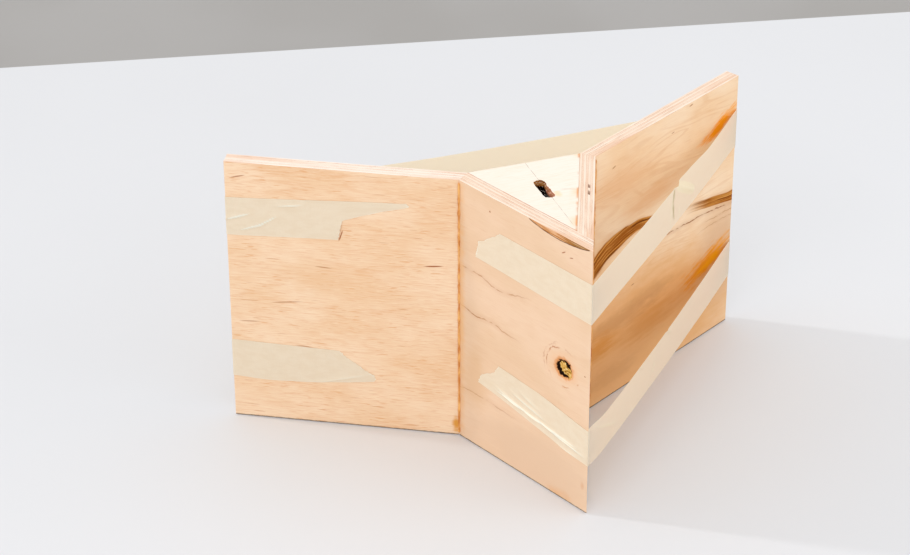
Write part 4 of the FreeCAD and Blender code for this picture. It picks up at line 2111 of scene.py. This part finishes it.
def upper_band(route: Route) -> TapeBand:
    """The upper band of tape, which is pinched where it crosses the right wing.

    Args:
        route: the way round the stand.

    Returns:
        The band.
    """
    _, left, back, right, front, _ = route.lengths
    wing = dict(
        length=0.1,
        low=((0, 0.246), (0.129, 0.2505), (0.215, 0.258)),
        high=((0, 0.2945), (0.208, 0.304), (0.23, 0.305)),
        torn=((0, 0.129), (0.49, 0.134), (0.6, 0.150), (0.71, 0.171), (0.91, 0.211), (1, 0.208)),
        curl=(0.0022, 0.02, 0.5),
        folds=(
            Fold((0.002, 0.2665), (0.026, 0.275), 0.0020, 0.0012),
            Fold((0.018, 0.254), (0.040, 0.262), 0.0018, 0.0011),
            Fold((0.038, 0.261), (0.058, 0.274), 0.0018, 0.0011),
            Fold((0.062, 0.288), (0.089, 0.292), 0.0014, 0.0012),
        ),
    )
    behind = dict(
        low=((0, 0.2455), (0.3, 0.2425), (back, 0.2445)),
        high=((0, 0.2945), (0.3, 0.2925), (back, 0.2945)),
        lean=((0, 0), (0.25, -6), (0.4, -5), (back, 0)),
    )
    free = dict(
        low=((0, 0.249), (0.227, 0.243), (0.336, 0.2435), (front, 0.246)),
        high=(
            (0, 0.299), (0.183, 0.2933), (0.252, 0.2925), (0.258, 0.297), (0.292, 0.295), (0.355, 0.290),
            (0.40, 0.292), (front, 0.296),
        ),
        folds=(
            Fold((0.256, 0.291), (0.303, 0.263), 0.0060, 0.0048),
            Fold((0.2480, 0.290), (0.2435, 0.276), -0.0030, 0.0024),
            Fold((0.2430, 0.277), (0.2485, 0.252), -0.0028, 0.0018),
            Fold((0.238, 0.285), (0.234, 0.252), 0.0014, 0.0030),
            Fold((0.262, 0.262), (0.262, 0.246), 0.0012, 0.0030),
        ),
    )
    arm = dict(
        length=0.12,
        low=((0, 0.249), (0.185, 0.254)),
        high=((0, 0.299), (0.146, 0.300), (0.19, 0.298)),
        torn=((0, 0.185), (0.5, 0.180), (0.585, 0.171), (1, 0.146)),
    )
    left_edge = (((0, 0.246), (left, 0.2455)), ((0, 0.2945), (left, 0.2945)))
    right_edge = (((0, 0.2445), (right, 0.244)), ((0, 0.2945), (right, 0.295)))
    runs = route.runs(wing, left_edge, behind, right_edge, free, arm)
    return TapeBand("upper_tape", "upper_tape_band", "upper_band", runs, seed=2.0)


def lower_band(route: Route) -> TapeBand:
    """The lower band of tape, which is creased where it is stuck to the left arm.

    Args:
        route: the way round the stand.

    Returns:
        The band.
    """
    _, left, back, right, front, _ = route.lengths
    wing = dict(
        length=0.1,
        low=((0, 0.056), (0.043, 0.0535), (0.085, 0.055), (0.13, 0.059), (0.17, 0.064)),
        high=((0, 0.1055), (0.07, 0.1035), (0.127, 0.102), (0.17, 0.100)),
        torn=((0, 0.167), (0.08, 0.1695), (0.22, 0.168), (0.5, 0.153), (0.91, 0.131), (1, 0.127)),
        folds=(Fold((0.10, 0.056), (0.165, 0.074), 0.0008, 0.0018),),
    )
    behind = dict(
        low=((0, 0.056), (0.3, 0.058), (back, 0.0655)),
        high=((0, 0.106), (0.3, 0.108), (back, 0.1155)),
        lean=((0, 0), (0.2, 4), (0.45, -3), (back, 0)),
    )
    free = dict(
        low=((0, 0.065), (0.04, 0.060), (0.1, 0.0585), (0.26, 0.0585), (0.36, 0.061), (front, 0.0655)),
        high=((0, 0.115), (0.04, 0.110), (0.1, 0.1085), (0.26, 0.1085), (0.36, 0.111), (front, 0.1155)),
        lean=((0, 0), (0.05, 2), (0.2, 2), (0.3, 1), (front, 0)),
        folds=(
            Fold((0.190, 0.075), (0.198, 0.092), 0.0018, 0.0014),
            Fold((0.235, 0.109), (0.249, 0.100), 0.0016, 0.0014),
            Fold((0.15, 0.107), (0.162, 0.101), 0.0012, 0.0012),
            Fold((0.02, 0.105), (0.08, 0.075), 0.0010, 0.0030),
        ),
    )
    arm = dict(
        length=0.11,
        low=((0, 0.065), (0.18, 0.090)),
        high=((0, 0.111), (0.084, 0.123), (0.146, 0.127), (0.19, 0.128)),
        torn=((0, 0.180), (0.3, 0.176), (0.75, 0.152), (1, 0.146)),
        folds=(
            Fold((0.138, 0.0925), (0.028, 0.0812), 0.0030, 0.0010),
            Fold((0.06, 0.0825), (0.0095, 0.075), 0.0022, 0.0009),
            Fold((0.122, 0.103), (0.070, 0.092), 0.0013, 0.0014),
            Fold((0.11, 0.110), (0.080, 0.1005), 0.0010, 0.0014),
            Fold((0.05, 0.070), (0.015, 0.0675), 0.0010, 0.0014),
            Fold((0.15, 0.098), (0.11, 0.0905), 0.0012, 0.0014),
        ),
    )
    left_edge = (((0, 0.056), (left, 0.056)), ((0, 0.1055), (left, 0.106)))
    right_edge = (((0, 0.0655), (right, 0.0655)), ((0, 0.1155), (right, 0.1155)))
    runs = route.runs(wing, left_edge, behind, right_edge, free, arm)
    return TapeBand("lower_tape", "lower_tape_band", "lower_band", runs, seed=6.0)


def main() -> None:
    """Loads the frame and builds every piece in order."""
    logging.basicConfig(level=logging.INFO, format="%(name)s: %(message)s")
    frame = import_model()
    plan = Plan(frame["nodes"])
    panels = boards(plan)
    wing_edges = edge_finishes(
        "wing", (paint(251, 238, 225), paint(246, 222, 203)), (paint(249, 232, 216), paint(240, 211, 188)),
        0.0, 0.35,
    )
    arm_edges = edge_finishes(
        "arm", (paint(247, 231, 214), paint(241, 211, 186)), (paint(243, 220, 199), paint(231, 193, 165)),
        2.0, 0.5,
    )
    for board in panels:
        board.build(wing_edges if board.name == "left_wing" else arm_edges)
    cap = Cap(plan.nodes)
    pencil_ends = (plan.tip_inner.y + 0.01, plan.left_inner.y)
    face = CapFinish("cap_veneer", plan.tip_inner, plan.right_inner, 0.0015, pencil_ends)
    scorch_and_shade = ScorchShadeFinish("burnt_shaded_wall", plan.top, cap.slot_high.y - 0.016)
    cap.build(arm_edges, face.build(), scorch_and_shade.build())
    glue = GlueFinish().build()
    tree = BeadTree("squeezed_glue")
    for line in glue_lines(plan):
        line.build(tree, glue)
    tape = TapeFinish("masking_tape", paint(248, 231, 205), paint(241, 220, 190)).build()
    stuck = ["left_wing_face_ply_wood", "left_arm_face_ply_wood", "right_wing_face_ply_wood"]
    route = Route(plan)
    for band, flat_length in ((upper_band(route), 1.497), (lower_band(route), 1.452)):
        band.build(tape, stuck, flat_length)
    Stage(FloorFinish(), FloorFinish("plain_wall", paint(172, 169, 166))).build()


if __name__ == "__main__":
    main()
